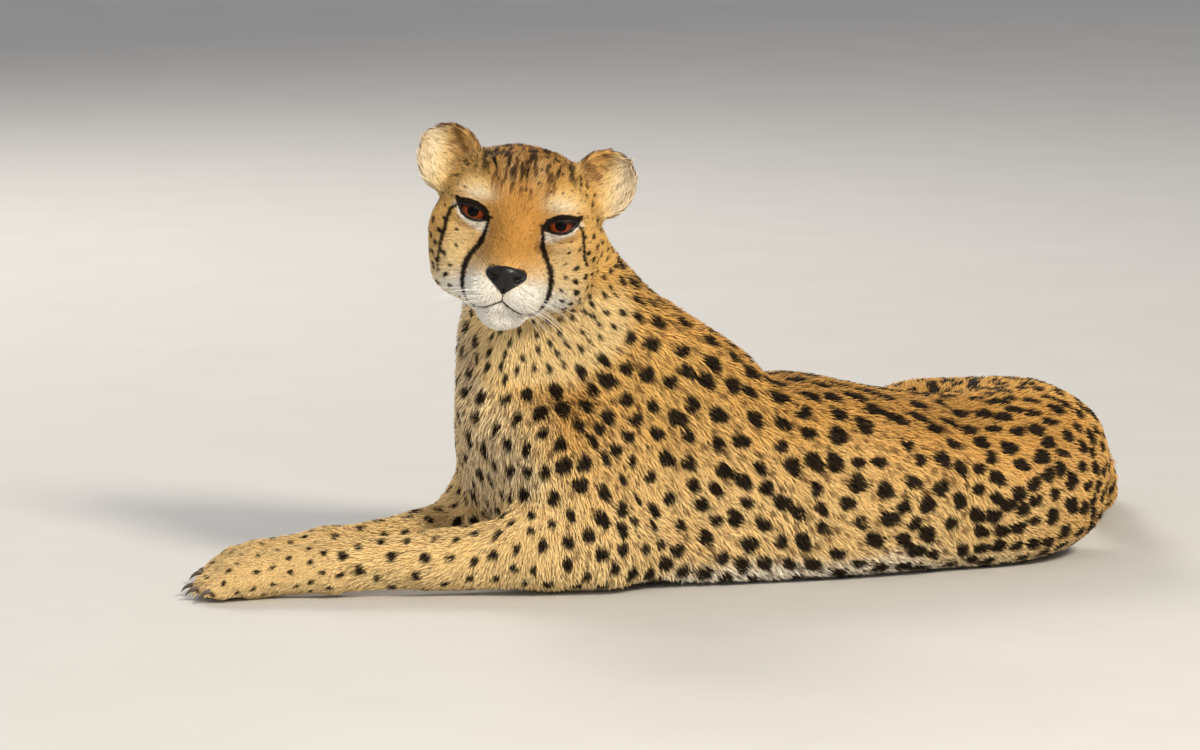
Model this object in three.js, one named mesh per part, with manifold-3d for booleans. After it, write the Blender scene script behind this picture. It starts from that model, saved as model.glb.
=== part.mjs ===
// A cheetah lying on its chest with the hips rolled on to the left side, head up and turned left.
// Life size, in millimetres. +Z is up, the head end is towards -X and the cat's left side towards -Y.
// The body is one smooth surface round bones and muscles, parted into named pieces by thin cuts.
import * as THREE from "three";
import { mergeVertices } from "three/addons/utils/BufferGeometryUtils.js";
import Module from "manifold-3d";

const wasm = await Module();
wasm.setup();

// ---------------------------------------------------------------- driving dimensions
const gap = 0.4; // width of the cut between two neighbouring pieces
const eyeRadius = 16; // eyeball
const eyeSpacing = 72; // between the two eye centres
const clawLength = 8;
const clawRadius = 3.4;
// Sizes of the facets on each part of the body
const noseCell = 8.5;
const faceCell = 12.8;
const headCell = 22.5;
const pawCell = 14;
const shankCell = 27;
const thighCell = 34;
const neckCell = 34;
const trunkCell = 44;
const tailCell = 21;
const headTurn = 70.7; // degrees that the head is turned to the cat's left of straight ahead
const headPitch = -3.4; // nose up a little
const headRoll = -9.5; // the left ear is the lower one
const headPlace = [-95, -62, 308.5]; // middle of the skull at the height of the eyes

const coat = { black: 0x14100d, tawny: 0xc99a57, cream: 0xe6d3a6, white: 0xf2ead8 };

// ---------------------------------------------------------------- distance fields
const v3 = (p) => new THREE.Vector3(...p);
const clamp = (t, lo, hi) => Math.min(hi, Math.max(lo, t));
const blendOf = (width) => (a, b) => {
  const h = Math.max(width - Math.abs(a - b), 0) / width;
  return Math.min(a, b) - (h * h * width) / 4;
};
const union = (fields, width) => {
  const blend = blendOf(width);
  return (p) => fields.reduce((d, f) => blend(d, f(p)), 1e3);
};
// Takes the second shape out of the first with a soft edge.
const carve = (body, tool, width) => {
  const blend = blendOf(width);
  return (p) => -blend(-body(p), tool(p));
};
// An egg-shaped mass. turn holds rotations about X, Y and Z in degrees.
function mass(centre, radii, turn = [0, 0, 0]) {
  const frame = new THREE.Matrix4().makeRotationFromEuler(
    new THREE.Euler(...turn.map(THREE.MathUtils.degToRad), "ZYX"));
  const inverse = frame.setPosition(...centre).invert();
  const [a, b, c] = radii;
  const q = new THREE.Vector3();
  return (p) => {
    q.copy(p).applyMatrix4(inverse);
    const k0 = Math.hypot(q.x / a, q.y / b, q.z / c);
    const k1 = Math.hypot(q.x / (a * a), q.y / (b * b), q.z / (c * c));
    return k1 > 1e-9 ? (k0 * (k0 - 1)) / k1 : -Math.min(a, b, c);
  };
}
// A limb length that tapers from radius ra at a to rb at b.
function bone(a, b, ra, rb) {
  const start = v3(a);
  const along = v3(b).sub(start);
  const span = along.lengthSq();
  const q = new THREE.Vector3();
  return (p) => {
    q.copy(p).sub(start);
    const t = clamp(q.dot(along) / span, 0, 1);
    return q.addScaledVector(along, -t).length() - (ra + (rb - ra) * t);
  };
}
// Bones through a list of [x, y, z, radius].
const chain = (joints, width) =>
  union(joints.slice(1).map((b, i) =>
    bone(joints[i].slice(0, 3), b.slice(0, 3), joints[i][3], b[3])), width);

// ---------------------------------------------------------------- trunk and neck
// Sections across the trunk: x, y, z, half width, half depth, and roll of the back to the left.
const trunkSections = [
  [-140, 0, 122, 58, 62, 0],
  [-95, 0, 122, 66, 80, 0],
  [-40, 0, 112, 76, 97, 0],
  [25, -4, 104, 83, 104, 0],
  [92, -22, 94, 86, 99, 4],
  [158, -42, 82, 85, 88, 12],
  [225, -54, 72, 80, 80, 26],
  [295, -52, 68, 76, 80, 46],
  [362, -36, 72, 74, 80, 66],
  [415, -20, 76, 70, 74, 76],
  [470, -6, 78, 62, 66, 80],
];
const trunkEnds = [-137, 444];
const trunkCap = 62; // length over which each end rounds off
// Smooth value between the sections, through each one.
function between(rows, x, column) {
  let i = rows.findIndex((row) => row[0] > x) - 1;
  i = clamp(i < 0 && x > rows[0][0] ? rows.length - 2 : i, 0, rows.length - 2);
  const [p0, p1, p2, p3] = [i - 1, i, i + 1, i + 2].map((n) => rows[clamp(n, 0, rows.length - 1)]);
  const t = clamp((x - p1[0]) / (p2[0] - p1[0]), 0, 1);
  const span = p2[0] - p1[0];
  const m1 = ((p2[column] - p0[column]) / (p2[0] - p0[0])) * span;
  const m2 = ((p3[column] - p1[column]) / (p3[0] - p1[0])) * span;
  const t2 = t * t;
  const t3 = t2 * t;
  return (2 * t3 - 3 * t2 + 1) * p1[column] + (t3 - 2 * t2 + t) * m1
    + (3 * t2 - 2 * t3) * p2[column] + (t3 - t2) * m2;
}
// A body of oval sections along X with round ends.
function ovalBody(rows, ends, cap) {
  return (p) => {
    const x = clamp(p.x, ends[0], ends[1]);
    const [y, z, wide, deep, roll] = [1, 2, 3, 4, 5].map((column) => between(rows, x, column));
    const angle = THREE.MathUtils.degToRad(roll);
    const across = (p.y - y) * Math.cos(angle) + (p.z - z) * Math.sin(angle);
    const along = (p.z - z) * Math.cos(angle) - (p.y - y) * Math.sin(angle);
    const past = Math.max(ends[0] + cap - p.x, p.x - ends[1] + cap, 0) / cap;
    const k0 = Math.hypot(across / wide, along / deep, past);
    const k1 = Math.hypot(across / wide ** 2, along / deep ** 2, past / cap);
    return k1 > 1e-9 ? (k0 * (k0 - 1)) / k1 : -Math.min(wide, deep);
  };
}
const trunk = ovalBody(trunkSections, trunkEnds, trunkCap);
const shoulders = union([
  mass([44, -46, 166], [56, 26, 62], [0, -28, 0]), // shoulder blades
  mass([44, 46, 166], [56, 26, 62], [0, -28, 0]),
  mass([-66, -62, 106], [44, 34, 52], [0, 24, 0]), // points of the shoulders
  mass([-66, 62, 106], [44, 34, 52], [0, 24, 0]),
], 16);
const neck = chain([
  [30, 0, 158, 66],
  [-26, -2, 210, 62],
  [-66, -20, 268, 58],
], 10);
const throat = mass([-86, -6, 196], [46, 50, 86], [0, 10, 0]);
const underside = [
  mass([128, -80, 26], [150, 48, 36]), // belly spread on the ground
  mass([318, -60, 34], [100, 44, 42]), // lower flank and hip
];

// ---------------------------------------------------------------- legs
// side is -1 for the left leg. Joints are [x, y, z, radius].
const foreleg = (joints) => {
  const [shoulder, elbow, wrist, knuckle] = joints;
  return union([
    chain([shoulder, elbow], 8),
    mass([elbow[0] - 44, elbow[1], elbow[2] + 6], [62, 32, 34], [0, 4, 0]),
    chain([elbow, wrist], 10),
    chain([wrist, knuckle], 6),
  ], 12);
};
const foreJoints = {
  left: [[-70, -74, 112, 44], [-26, -98, 35, 36], [-246, -52, 26, 22], [-318, -35, 19, 19]],
  right: [[-70, 74, 112, 44], [-18, 88, 34, 35], [-228, 30, 23, 21], [-294, 29, 18, 18]],
};
const hindJoints = {
  left: [[372, -8, 48, 58], [230, 94, 40, 40], [326, 262, 25, 21], [224, 336, 18, 20]],
  right: [[362, 8, 84, 66], [264, 132, 72, 46], [454, 200, 44, 21], [382, 296, 20, 20]],
};
const hindleg = (joints) => {
  const [hip, knee, hock, ball] = joints;
  const mid = hip.map((h, i) => h * 0.5 + knee[i] * 0.5);
  const calf = knee.map((k, i) => k * 0.68 + hock[i] * 0.32);
  mid[3] += 6;
  return union([
    chain([hip, mid, knee], 12),
    chain([knee, [...calf.slice(0, 3), 37], hock], 10),
    mass(hock.slice(0, 3), [21, 20, 21]),
    chain([hock, ball], 6),
  ], 8);
};

// Toes fan out from the knuckles. heading is the angle of the paw about Z, 180 pointing to -X.
const toeSpread = [-30, -11, 9, 28]; // degrees
const toeReach = [30, 38, 37, 29];
const toeSide = [-17, -6, 6, 17];
const toeRadius = 10.5;
function pawToes([x, y, z], heading, scale = 1) {
  return toeSpread.map((spread, i) => {
    const root = THREE.MathUtils.degToRad(heading);
    const angle = THREE.MathUtils.degToRad(heading + spread * 0.45);
    const side = toeSide[i] * scale;
    const start = [x + side * Math.sin(root) * -1, y + side * Math.cos(root), z - 3];
    const reach = toeReach[i] * scale;
    const knuckle = [start[0] + reach * 0.45 * Math.cos(angle),
      start[1] + reach * 0.45 * Math.sin(angle), 17 * scale];
    const tip = [start[0] + reach * Math.cos(angle), start[1] + reach * Math.sin(angle), 10 * scale];
    return { start, knuckle, tip, angle };
  });
}
const pawField = (joint, heading) => union([
  mass([joint[0], joint[1], joint[2] - 1], [24, 24, 18], [0, 0, heading]),
  ...pawToes(joint, heading).map(({ start, knuckle, tip }) => chain([
    [...start, toeRadius], [...knuckle, toeRadius + 0.5], [...tip, toeRadius - 0.5]], 4)),
], 5);
const paws = {
  foreLeft: [foreJoints.left[3], 172],
  foreRight: [foreJoints.right[3], 181],
  hindLeft: [hindJoints.left[3], 148],
  hindRight: [hindJoints.right[3], 138],
};

// ---------------------------------------------------------------- tail
const tailPath = new THREE.CatmullRomCurve3([
  [410, -8, 80], [442, 26, 68], [468, 78, 40], [492, 138, 23], [512, 200, 20], [517, 262, 19],
  [494, 326, 18], [442, 374, 18], [376, 400, 18], [310, 412, 18], [246, 424, 18], [190, 446, 17],
].map(v3), false, "centripetal");
const tailRadius = (t) => 22 - 4.5 * t + 3 * Math.sin(Math.PI * clamp((t - 0.7) / 0.3, 0, 1)) * t;
const tailBlend = 0.3; // share of the tail that is shaped together with the rump
const tailAt = (t) => [...tailPath.getPointAt(t).toArray(), tailRadius(t)];
const tailRoot = chain(Array.from({ length: 13 }, (_, i) => tailAt((i / 12) * tailBlend)), 1);

// ---------------------------------------------------------------- head, in its own frame
// f is forward, l to the cat's left and u up, with the origin between the eyes' level and the skull.
const headFrame = new THREE.Matrix4()
  .makeRotationFromEuler(new THREE.Euler(
    THREE.MathUtils.degToRad(headRoll), THREE.MathUtils.degToRad(headPitch),
    THREE.MathUtils.degToRad(180 + headTurn), "ZYX"))
  .setPosition(...headPlace);
const headInverse = headFrame.clone().invert();
const inHead = (field) => {
  const q = new THREE.Vector3();
  return (p) => field(q.copy(p).applyMatrix4(headInverse));
};
const pair = (make) => [make(1), make(-1)];
const eyeHalf = eyeSpacing / 2;
const skull = union([
  mass([-24, 0, 8], [58, 63, 50]), // braincase
  mass([10, 0, 11], [37, 50, 42]), // forehead
  ...pair((s) => mass([1, s * 42, -16], [37, 30, 34])), // cheekbones
  ...pair((s) => mass([-4, s * 38, -46], [42, 28, 28])), // jowls
  ...pair((s) => mass([29, s * 36, 15], [14, 20, 9], [0, 0, s * 16])), // brows
  mass([18, 0, -62], [46, 35, 24]), // lower jaw
], 12);
const muzzle = union([
  bone([34, 0, 2], [79, 0, -42], 20, 15), // bridge
  mass([56, 0, -50], [34, 31, 23], [0, 18, 0]),
  ...pair((s) => mass([77, s * 13, -57], [15, 17, 14])), // upper lip pads
  mass([57, 0, -76], [22, 20, 15]), // chin
], 8);
const eyePlace = (s) => [26, s * eyeHalf, 0];
const orbits = union(pair((s) => mass([50, s * (eyeHalf - 1), -1], [10, 15, 9], [s * 22, 0, s * 20])), 2);
const headShape = carve(union([skull, muzzle], 14), orbits, 7);
const head = inHead(headShape);

// ---------------------------------------------------------------- the whole animal
const limbs = {
  foreLeft: foreleg(foreJoints.left),
  foreRight: foreleg(foreJoints.right),
  hindLeft: hindleg(hindJoints.left),
  hindRight: hindleg(hindJoints.right),
};
const core = union([trunk, shoulders, union([neck, throat], 22), ...underside], 26);
const headAndNeck = union([core, head], 14);
const withForelegs = union([headAndNeck, limbs.foreLeft, limbs.foreRight], 18);
const withHindlegs = union([withForelegs, union([limbs.hindRight, limbs.hindLeft], 5)], 12);
const pawsAndTail = union([tailRoot, ...Object.values(paws).map(([j, h]) => pawField(j, h))], 2);
const animal = union([withHindlegs, pawsAndTail], 8);

// ---------------------------------------------------------------- surface of a field
// One point for each sheet of the surface in a grid cell, joined across the grid edges that it cuts.
const corners = Array.from({ length: 8 }, (_, i) => [i & 1, (i >> 1) & 1, (i >> 2) & 1]);
const cubeEdges = [];
for (let a = 0; a < 8; a++)
  for (const bit of [1, 2, 4]) if (!(a & bit)) cubeEdges.push([a, a | bit]);
const cubeFaces = [];
for (let axis = 0; axis < 3; axis++)
  for (const side of [0, 1]) {
    const [u, v] = [1 << ((axis + 1) % 3), 1 << ((axis + 2) % 3)];
    const base = side << axis;
    cubeFaces.push([base, base | u, base | u | v, base | v]);
  }
const edgeIndex = (a, b) => cubeEdges.findIndex(([x, y]) => (x === a && y === b) || (x === b && y === a));
const faceEdges = cubeFaces.map((f) => f.map((c, i) => edgeIndex(c, f[(i + 1) % 4])));

function surfaceOf(field, low, high, cell) {
  const count = low.map((lo, i) => Math.ceil((high[i] - lo) / cell) + 1);
  const [nx, ny, nz] = count;
  const at = (i, j, k) => (k * ny + j) * nx + i;
  const value = new Float64Array(nx * ny * nz);
  const point = new THREE.Vector3();
  for (let k = 0; k < nz; k++)
    for (let j = 0; j < ny; j++)
      for (let i = 0; i < nx; i++) {
        const rim = i === 0 || j === 0 || k === 0 || i === nx - 1 || j === ny - 1 || k === nz - 1;
        point.set(low[0] + i * cell, low[1] + j * cell, low[2] + k * cell);
        const d = field(point);
        value[at(i, j, k)] = rim ? Math.max(d, cell * 0.5) : d || 1e-9;
      }
  clearPinches(value, count, at);
  const positions = [];
  const sheetOf = new Map(); // cell and edge to vertex number
  const key = (cellId, edge) => cellId * 12 + edge;
  for (let k = 0; k < nz - 1; k++)
    for (let j = 0; j < ny - 1; j++)
      for (let i = 0; i < nx - 1; i++) {
        const d = corners.map(([a, b, c]) => value[at(i + a, j + b, k + c)]);
        const cut = cubeEdges.map(([a, b]) => d[a] < 0 !== d[b] < 0);
        if (!cut.includes(true)) continue;
        const group = cubeEdges.map((_, e) => e);
        const rootOf = (e) => (group[e] === e ? e : rootOf(group[e]));
        const join = (a, b) => { group[rootOf(a)] = rootOf(b); };
        cubeFaces.forEach((face, f) => {
          const edges = faceEdges[f];
          const crossed = edges.filter((e) => cut[e]);
          if (crossed.length === 2) join(crossed[0], crossed[1]);
          else if (crossed.length === 4)
            face.forEach((c, n) => { if (d[c] < 0) join(edges[n], edges[(n + 3) % 4]); });
        });
        const sheets = new Map();
        cubeEdges.forEach(([a, b], e) => {
          if (!cut[e]) return;
          const t = d[a] / (d[a] - d[b]);
          const where = corners[a].map((c, n) => c + (corners[b][n] - c) * t);
          const root = rootOf(e);
          if (!sheets.has(root)) sheets.set(root, { sum: [0, 0, 0], edges: [] });
          const sheet = sheets.get(root);
          where.forEach((w, n) => { sheet.sum[n] += w; });
          sheet.edges.push(e);
        });
        for (const { sum, edges } of sheets.values()) {
          const number = positions.length / 3;
          positions.push(...sum.map((s, n) => low[n] + ([i, j, k][n] + s / edges.length) * cell));
          edges.forEach((e) => sheetOf.set(key(at(i, j, k), e), number));
        }
      }
  settle(positions, field, cell, low, count);
  const index = [];
  const steps = [[1, 0, 0], [0, 1, 0], [0, 0, 1]];
  for (let k = 0; k < nz - 1; k++)
    for (let j = 0; j < ny - 1; j++)
      for (let i = 0; i < nx - 1; i++)
        steps.forEach((step, axis) => {
          if ([i, j, k].some((n, m) => m !== axis && n === 0)) return;
          const here = value[at(i, j, k)] < 0;
          const there = value[at(i + step[0], j + step[1], k + step[2])] < 0;
          if (here === there) return;
          const u = steps[(axis + 1) % 3];
          const v = steps[(axis + 2) % 3];
          const quad = [[0, 0], [1, 0], [1, 1], [0, 1]].map(([a, b]) => {
            const c = [i, j, k].map((n, m) => n - a * u[m] - b * v[m]);
            const from = a * (1 << ((axis + 1) % 3)) + b * (1 << ((axis + 2) % 3));
            return sheetOf.get(key(at(...c), edgeIndex(from, from | (1 << axis))));
          });
          if (!here) quad.reverse();
          splitQuad(quad, positions, index);
        });
  const geometry = new THREE.BufferGeometry();
  geometry.setAttribute("position", new THREE.Float32BufferAttribute(positions, 3));
  geometry.setIndex(index);
  return geometry;
}
// Where a grid square has its two opposite corners inside, its weakest corner changes sides.
function clearPinches(value, [nx, ny, nz], at) {
  const sizes = [nx, ny, nz];
  for (let pass = 0, found = true; found && pass < 30; pass++) {
    found = false;
    for (let axis = 0; axis < 3; axis++) {
      const [ua, va] = [(axis + 1) % 3, (axis + 2) % 3];
      const step = (a, n) => at(...[0, 1, 2].map((m) => (m === a ? n : 0)));
      const c = [0, 0, 0];
      for (c[0] = 0; c[0] < sizes[0] - (axis !== 0); c[0]++)
        for (c[1] = 0; c[1] < sizes[1] - (axis !== 1); c[1]++)
          for (c[2] = 0; c[2] < sizes[2] - (axis !== 2); c[2]++) {
            const base = at(...c);
            const face = [base, base + step(ua, 1), base + step(ua, 1) + step(va, 1), base + step(va, 1)];
            const inside = face.map((n) => value[n] < 0);
            if (inside[0] !== inside[2] || inside[1] !== inside[3] || inside[0] === inside[1]) continue;
            const weakest = face.reduce((a, b) => (Math.abs(value[b]) < Math.abs(value[a]) ? b : a));
            value[weakest] = -Math.sign(value[weakest]) * Math.min(Math.abs(value[weakest]), 0.5);
            found = true;
          }
    }
  }
}
// Moves each point on to the surface, by no more than a third of a cell, and leaves the grid's rim.
function settle(positions, field, cell, low, count) {
  const p = new THREE.Vector3();
  const q = new THREE.Vector3();
  const step = 0.5;
  for (let n = 0; n < positions.length; n += 3) {
    p.fromArray(positions, n);
    const rim = p.toArray().some((x, m) =>
      x < low[m] + 1.2 * cell || x > low[m] + (count[m] - 2.2) * cell);
    if (rim) continue;
    const d = field(p);
    const slope = new THREE.Vector3(
      field(q.copy(p).setX(p.x + step)) - d,
      field(q.copy(p).setY(p.y + step)) - d,
      field(q.copy(p).setZ(p.z + step)) - d).divideScalar(step);
    const size = Math.max(slope.lengthSq(), 0.2);
    p.addScaledVector(slope, -clamp(d, -cell / 3, cell / 3) / size);
    p.toArray(positions, n);
  }
}
// Splits a quad along its shorter diagonal.
function splitQuad(quad, positions, index) {
  const [a, b, c, d] = quad.map((n) => new THREE.Vector3().fromArray(positions, n * 3));
  const [p, q, r, s] = quad;
  if (a.distanceTo(c) < b.distanceTo(d)) index.push(p, q, r, p, r, s);
  else index.push(p, q, s, q, r, s);
}

// ---------------------------------------------------------------- joins and cuts
function solidOf(geometry) {
  const bare = new THREE.BufferGeometry();
  bare.setAttribute("position", geometry.getAttribute("position"));
  if (geometry.index) bare.setIndex(geometry.index);
  const merged = mergeVertices(bare, 1e-4);
  const mesh = new wasm.Mesh({
    numProp: 3,
    vertProperties: merged.getAttribute("position").array,
    triVerts: new Uint32Array(merged.index.array),
  });
  return new wasm.Manifold(mesh);
}
const placed = (geometry, matrix) => solidOf(geometry.clone().applyMatrix4(matrix));
// A block between two corners, for cutting.
const block = (low, high) => placed(
  new THREE.BoxGeometry(...high.map((h, i) => h - low[i])),
  new THREE.Matrix4().makeTranslation(...high.map((h, i) => (h + low[i]) / 2)));
// A round cutter whose flat end stands on a joint, facing back along the limb.
function sleeve(joint, towards, radius, reach) {
  return (grow) => {
    const axis = v3(towards).sub(v3(joint)).normalize();
    const turn = new THREE.Quaternion().setFromUnitVectors(new THREE.Vector3(0, 1, 0), axis);
    const middle = v3(joint).addScaledVector(axis, reach / 2 - grow);
    return placed(new THREE.CylinderGeometry(radius + grow, radius + grow, reach, 14),
      new THREE.Matrix4().compose(middle, turn, new THREE.Vector3(1, 1, 1)));
  };
}
// An oval prism standing on its centre, with its length along the given axis before the turn.
const prism = (axis, centre, radii, length, turn) => (grow) => {
  const frame = new THREE.Matrix4().makeRotationAxis(axis, THREE.MathUtils.degToRad(turn))
    .setPosition(...centre);
  const stand = new THREE.Matrix4().makeRotationFromQuaternion(
    new THREE.Quaternion().setFromUnitVectors(new THREE.Vector3(0, 1, 0), axis));
  return placed(new THREE.CylinderGeometry(1, 1, 1, 22),
    frame.multiply(stand).multiply(new THREE.Matrix4().makeScale(
      radii[0] + grow, length + 2 * grow, radii[1] + grow)));
};
const [acrossBody, upright] = [new THREE.Vector3(0, 1, 0), new THREE.Vector3(0, 0, 1)];
const ground = block([-900, -900, -80], [1100, 900, 0]);
const largest = (solid) => solid.decompose().sort((a, b) => b.volume() - a.volume())[0];

// ---------------------------------------------------------------- pieces
// Each is a region of the whole, cut in this order. A cutter also makes the gap in what comes later.
const ahead = (a, b, t) => a.map((x, i) => x + (b[i] - x) * t);
const around = (points, margin) => [
  [0, 1, 2].map((i) => Math.min(...points.map((p) => p[i])) - margin),
  [0, 1, 2].map((i) => Math.max(...points.map((p) => p[i])) + margin),
];
const pieces = [];
const addPiece = (name, colour, cell, low, high, cutter) =>
  pieces.push({ name, colour, cell, low, high, cutter });
function addLimb(name, joints, paw, cells, cuts) {
  const [top, bend, end, knuckle] = joints.map((j) => j.slice(0, 3));
  const [, inner, outer] = pawToes(paw[0], paw[1]);
  const tip = ahead(inner.tip, outer.tip, 0.5);
  const pawRoot = ahead(end, knuckle, cuts.paw);
  const lowerRoot = ahead(bend, end, cuts.lower);
  const reach = v3(lowerRoot).distanceTo(v3(pawRoot));
  addPiece(`paw_${name}`, coat.cream, cells[0], ...around([end, tip], 42),
    sleeve(pawRoot, tip, cuts.wide, 150));
  addPiece(`${cuts.names[1]}_${name}`, coat.tawny, cells[1], ...around([bend, end], 66),
    sleeve(lowerRoot, end, 50, reach + 8));
  addPiece(`${cuts.names[0]}_${name}`, coat.tawny, cells[2], ...around([top, bend], 110), cuts.top);
}
const headPoint = (f, l, u) => new THREE.Vector3(f, l, u).applyMatrix4(headFrame).toArray();
const inHeadTurn = (turn) => new THREE.Matrix4().makeRotationFromEuler(
  new THREE.Euler(...turn.map(THREE.MathUtils.degToRad), "ZYX"));
const headEgg = (centre, radii, turn = [0, 0, 0]) => (grow) => placed(
  new THREE.SphereGeometry(1, 12, 8),
  headFrame.clone()
    .multiply(new THREE.Matrix4().makeTranslation(...centre))
    .multiply(inHeadTurn(turn))
    .multiply(new THREE.Matrix4().makeScale(...radii.map((r) => r + grow))));

addPiece("nose", coat.black, noseCell, ...around([headPoint(92, 0, -46)], 34),
  headEgg([96, 0, -44], [15, 17, 10]));
addPiece("face", coat.tawny, faceCell, ...around([headPoint(50, 0, -20)], 112),
  sleeve(headPoint(6, 0, -10), headPoint(60, 0, -16), 130, 240));
addPiece("head", coat.tawny, headCell, ...around([headPlace], 160),
  sleeve(headPoint(-50, 0, -20), headPoint(60, 0, 10), 130, 240));
addLimb("fore_left", foreJoints.left, paws.foreLeft, [pawCell, shankCell, thighCell], {
  names: ["upper_arm", "forearm"], lower: 0.2, paw: 0.05, wide: 33,
  top: prism(acrossBody, [-40, -124, 54], [62, 84], 156, 24),
});
addLimb("fore_right", foreJoints.right, paws.foreRight, [pawCell, shankCell, thighCell], {
  names: ["upper_arm", "forearm"], lower: 0.2, paw: 0.05, wide: 33,
  top: prism(acrossBody, [-40, 122, 54], [62, 84], 156, 24),
});
addLimb("hind_right", hindJoints.right, paws.hindRight, [pawCell, shankCell, thighCell], {
  names: ["thigh", "shank"], lower: 0.2, paw: 0.3, wide: 46,
  top: prism(upright, [296, 112, 118], [100, 70], 120, -48),
});
addLimb("hind_left", hindJoints.left, paws.hindLeft, [pawCell, shankCell, thighCell], {
  names: ["thigh", "shank"], lower: 0.2, paw: 0.3, wide: 46,
  top: prism(upright, [262, 108, 14], [94, 74], 87, -48),
});
const tailSpan = tailPath.getLength();
const tailRing = 0.045; // share of the tail's length from one ring of facets to the next
const tailCuts = [0.07, 0.24, 0.6, 1]; // shares of the tail's length
addPiece("tail_base", coat.tawny, tailCell, ...around(
  [tailAt(tailCuts[0]), tailAt(tailCuts[1])].map((p) => p.slice(0, 3)), 52),
  sleeve(tailAt(tailCuts[0]).slice(0, 3), tailAt(0.16).slice(0, 3), 60, 300));
addPiece("neck", coat.tawny, neckCell, [-170, -120, 120], [60, 110, 340],
  sleeve([-38, 0, 198], [-66, -12, 268], 150, 260));
addPiece("chest", coat.tawny, trunkCell, [-180, -190, -30], [190, 190, 300],
  (grow) => block([-900, -900, -80], [118 + grow, 900, 900]));
addPiece("loin", coat.tawny, trunkCell, [80, -200, -30], [330, 200, 260],
  (grow) => block([-900, -900, -80], [272 + grow, 900, 900]));
addPiece("rump", coat.tawny, trunkCell, [230, -180, -30], [520, 190, 230],
  () => block([-900, -900, -80], [1100, 900, 900]));

const regionOf = (field, low, high, cell) => solidOf(surfaceOf(field, low, high, cell));

// A round bar along the tail between two shares of its length, with the end rounded at 1.
function tailLength(from, to) {
  const rings = Math.ceil((to - from) / tailRing);
  const sides = 8;
  const positions = [];
  const index = [];
  const up = new THREE.Vector3(0, 0, 1);
  for (let i = 0; i <= rings; i++) {
    const t = from + ((to - from) * i) / rings;
    const centre = tailPath.getPointAt(t);
    const ahead3 = tailPath.getTangentAt(t);
    const side = new THREE.Vector3().crossVectors(up, ahead3).normalize();
    const over = new THREE.Vector3().crossVectors(ahead3, side);
    const round = to === 1 ? Math.sqrt(clamp((1 - t) / 0.035, 0.06, 1)) : 1;
    for (let n = 0; n < sides; n++) {
      const a = (2 * Math.PI * n) / sides;
      const r = tailRadius(t) * 1.03 * round;
      positions.push(...centre.clone().addScaledVector(side, r * Math.cos(a))
        .addScaledVector(over, r * Math.sin(a)).toArray());
    }
  }
  for (let i = 0; i < rings; i++)
    for (let n = 0; n < sides; n++) {
      const [a, b] = [i * sides + n, i * sides + ((n + 1) % sides)];
      index.push(a, b, b + sides, a, b + sides, a + sides);
    }
  for (let n = 1; n < sides - 1; n++) {
    const last = rings * sides;
    index.push(0, n + 1, n, last, last + n, last + n + 1);
  }
  const geometry = new THREE.BufferGeometry();
  geometry.setAttribute("position", new THREE.Float32BufferAttribute(positions, 3));
  geometry.setIndex(index);
  return solidOf(geometry);
}

// A cup-shaped ear in the head's frame; grow thickens its wall on both sides.
function earCup(s, grow) {
  const frame = headFrame.clone()
    .multiply(new THREE.Matrix4().makeTranslation(-16, s * 63, 35))
    .multiply(inHeadTurn([s * -32, -6, s * 14]));
  const shell = (x, radii, g) => placed(new THREE.SphereGeometry(1, 12, 7), frame.clone()
    .multiply(new THREE.Matrix4().makeTranslation(x, 0, 0))
    .multiply(new THREE.Matrix4().makeRotationY(Math.PI / 2))
    .multiply(new THREE.Matrix4().makeScale(...radii.map((r) => r + g))));
  return shell(0, [31, 27, 17], grow).subtract(shell(11, [29, 25, 19], -grow));
}
// One claw, joined to the end of its toe.
const clawOf = ({ tip, angle }) => placed(new THREE.ConeGeometry(clawRadius, clawLength * 2.2, 5),
  new THREE.Matrix4().makeTranslation(
    tip[0] + Math.cos(angle) * clawLength * 1.05, tip[1] + Math.sin(angle) * clawLength * 1.05, 7)
    .multiply(new THREE.Matrix4().makeRotationZ(angle))
    .multiply(new THREE.Matrix4().makeRotationY(THREE.MathUtils.degToRad(24)))
    .multiply(new THREE.Matrix4().makeRotationZ(-Math.PI / 2)));

const eyeBall = (s, grow) => placed(new THREE.SphereGeometry(eyeRadius + grow, 12, 8),
  headFrame.clone().multiply(new THREE.Matrix4().makeTranslation(...eyePlace(s))));
const separate = [
  ...pair((s) => ({ name: `eye_${s > 0 ? "left" : "right"}`, colour: coat.black,
    solid: (grow) => eyeBall(s, grow) })),
  ...pair((s) => ({ name: `ear_${s > 0 ? "left" : "right"}`, colour: coat.cream,
    solid: (grow) => earCup(s, grow) })),
];
const made = separate.map(({ name, colour, solid }) => ({ name, colour, solid: solid(0) }));
const tailEnd = tailAt(tailCuts[1]).slice(0, 3);
const beyond = v3(tailEnd).addScaledVector(tailPath.getTangentAt(tailCuts[1]), 10).toArray();
let taken = separate.map(({ solid }) => solid(gap)).reduce((a, b) => a.add(b));
taken = taken.add(sleeve(tailEnd, beyond, 42, 90)(gap));
for (const { name, colour, cell, low, high, cutter } of pieces) {
  let solid = regionOf(animal, low, high, cell).intersect(cutter(0)).subtract(taken).subtract(ground);
  solid = largest(solid);
  const paw = /^paw_(fore|hind)_(left|right)$/.exec(name);
  if (paw) {
    const key = paw[1] + paw[2][0].toUpperCase() + paw[2].slice(1);
    pawToes(...paws[key]).forEach((toe) => { solid = solid.add(clawOf(toe)); });
    solid = largest(solid.subtract(ground));
  }
  made.push({ name, colour, solid });
  taken = taken.add(cutter(gap));
}
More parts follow.
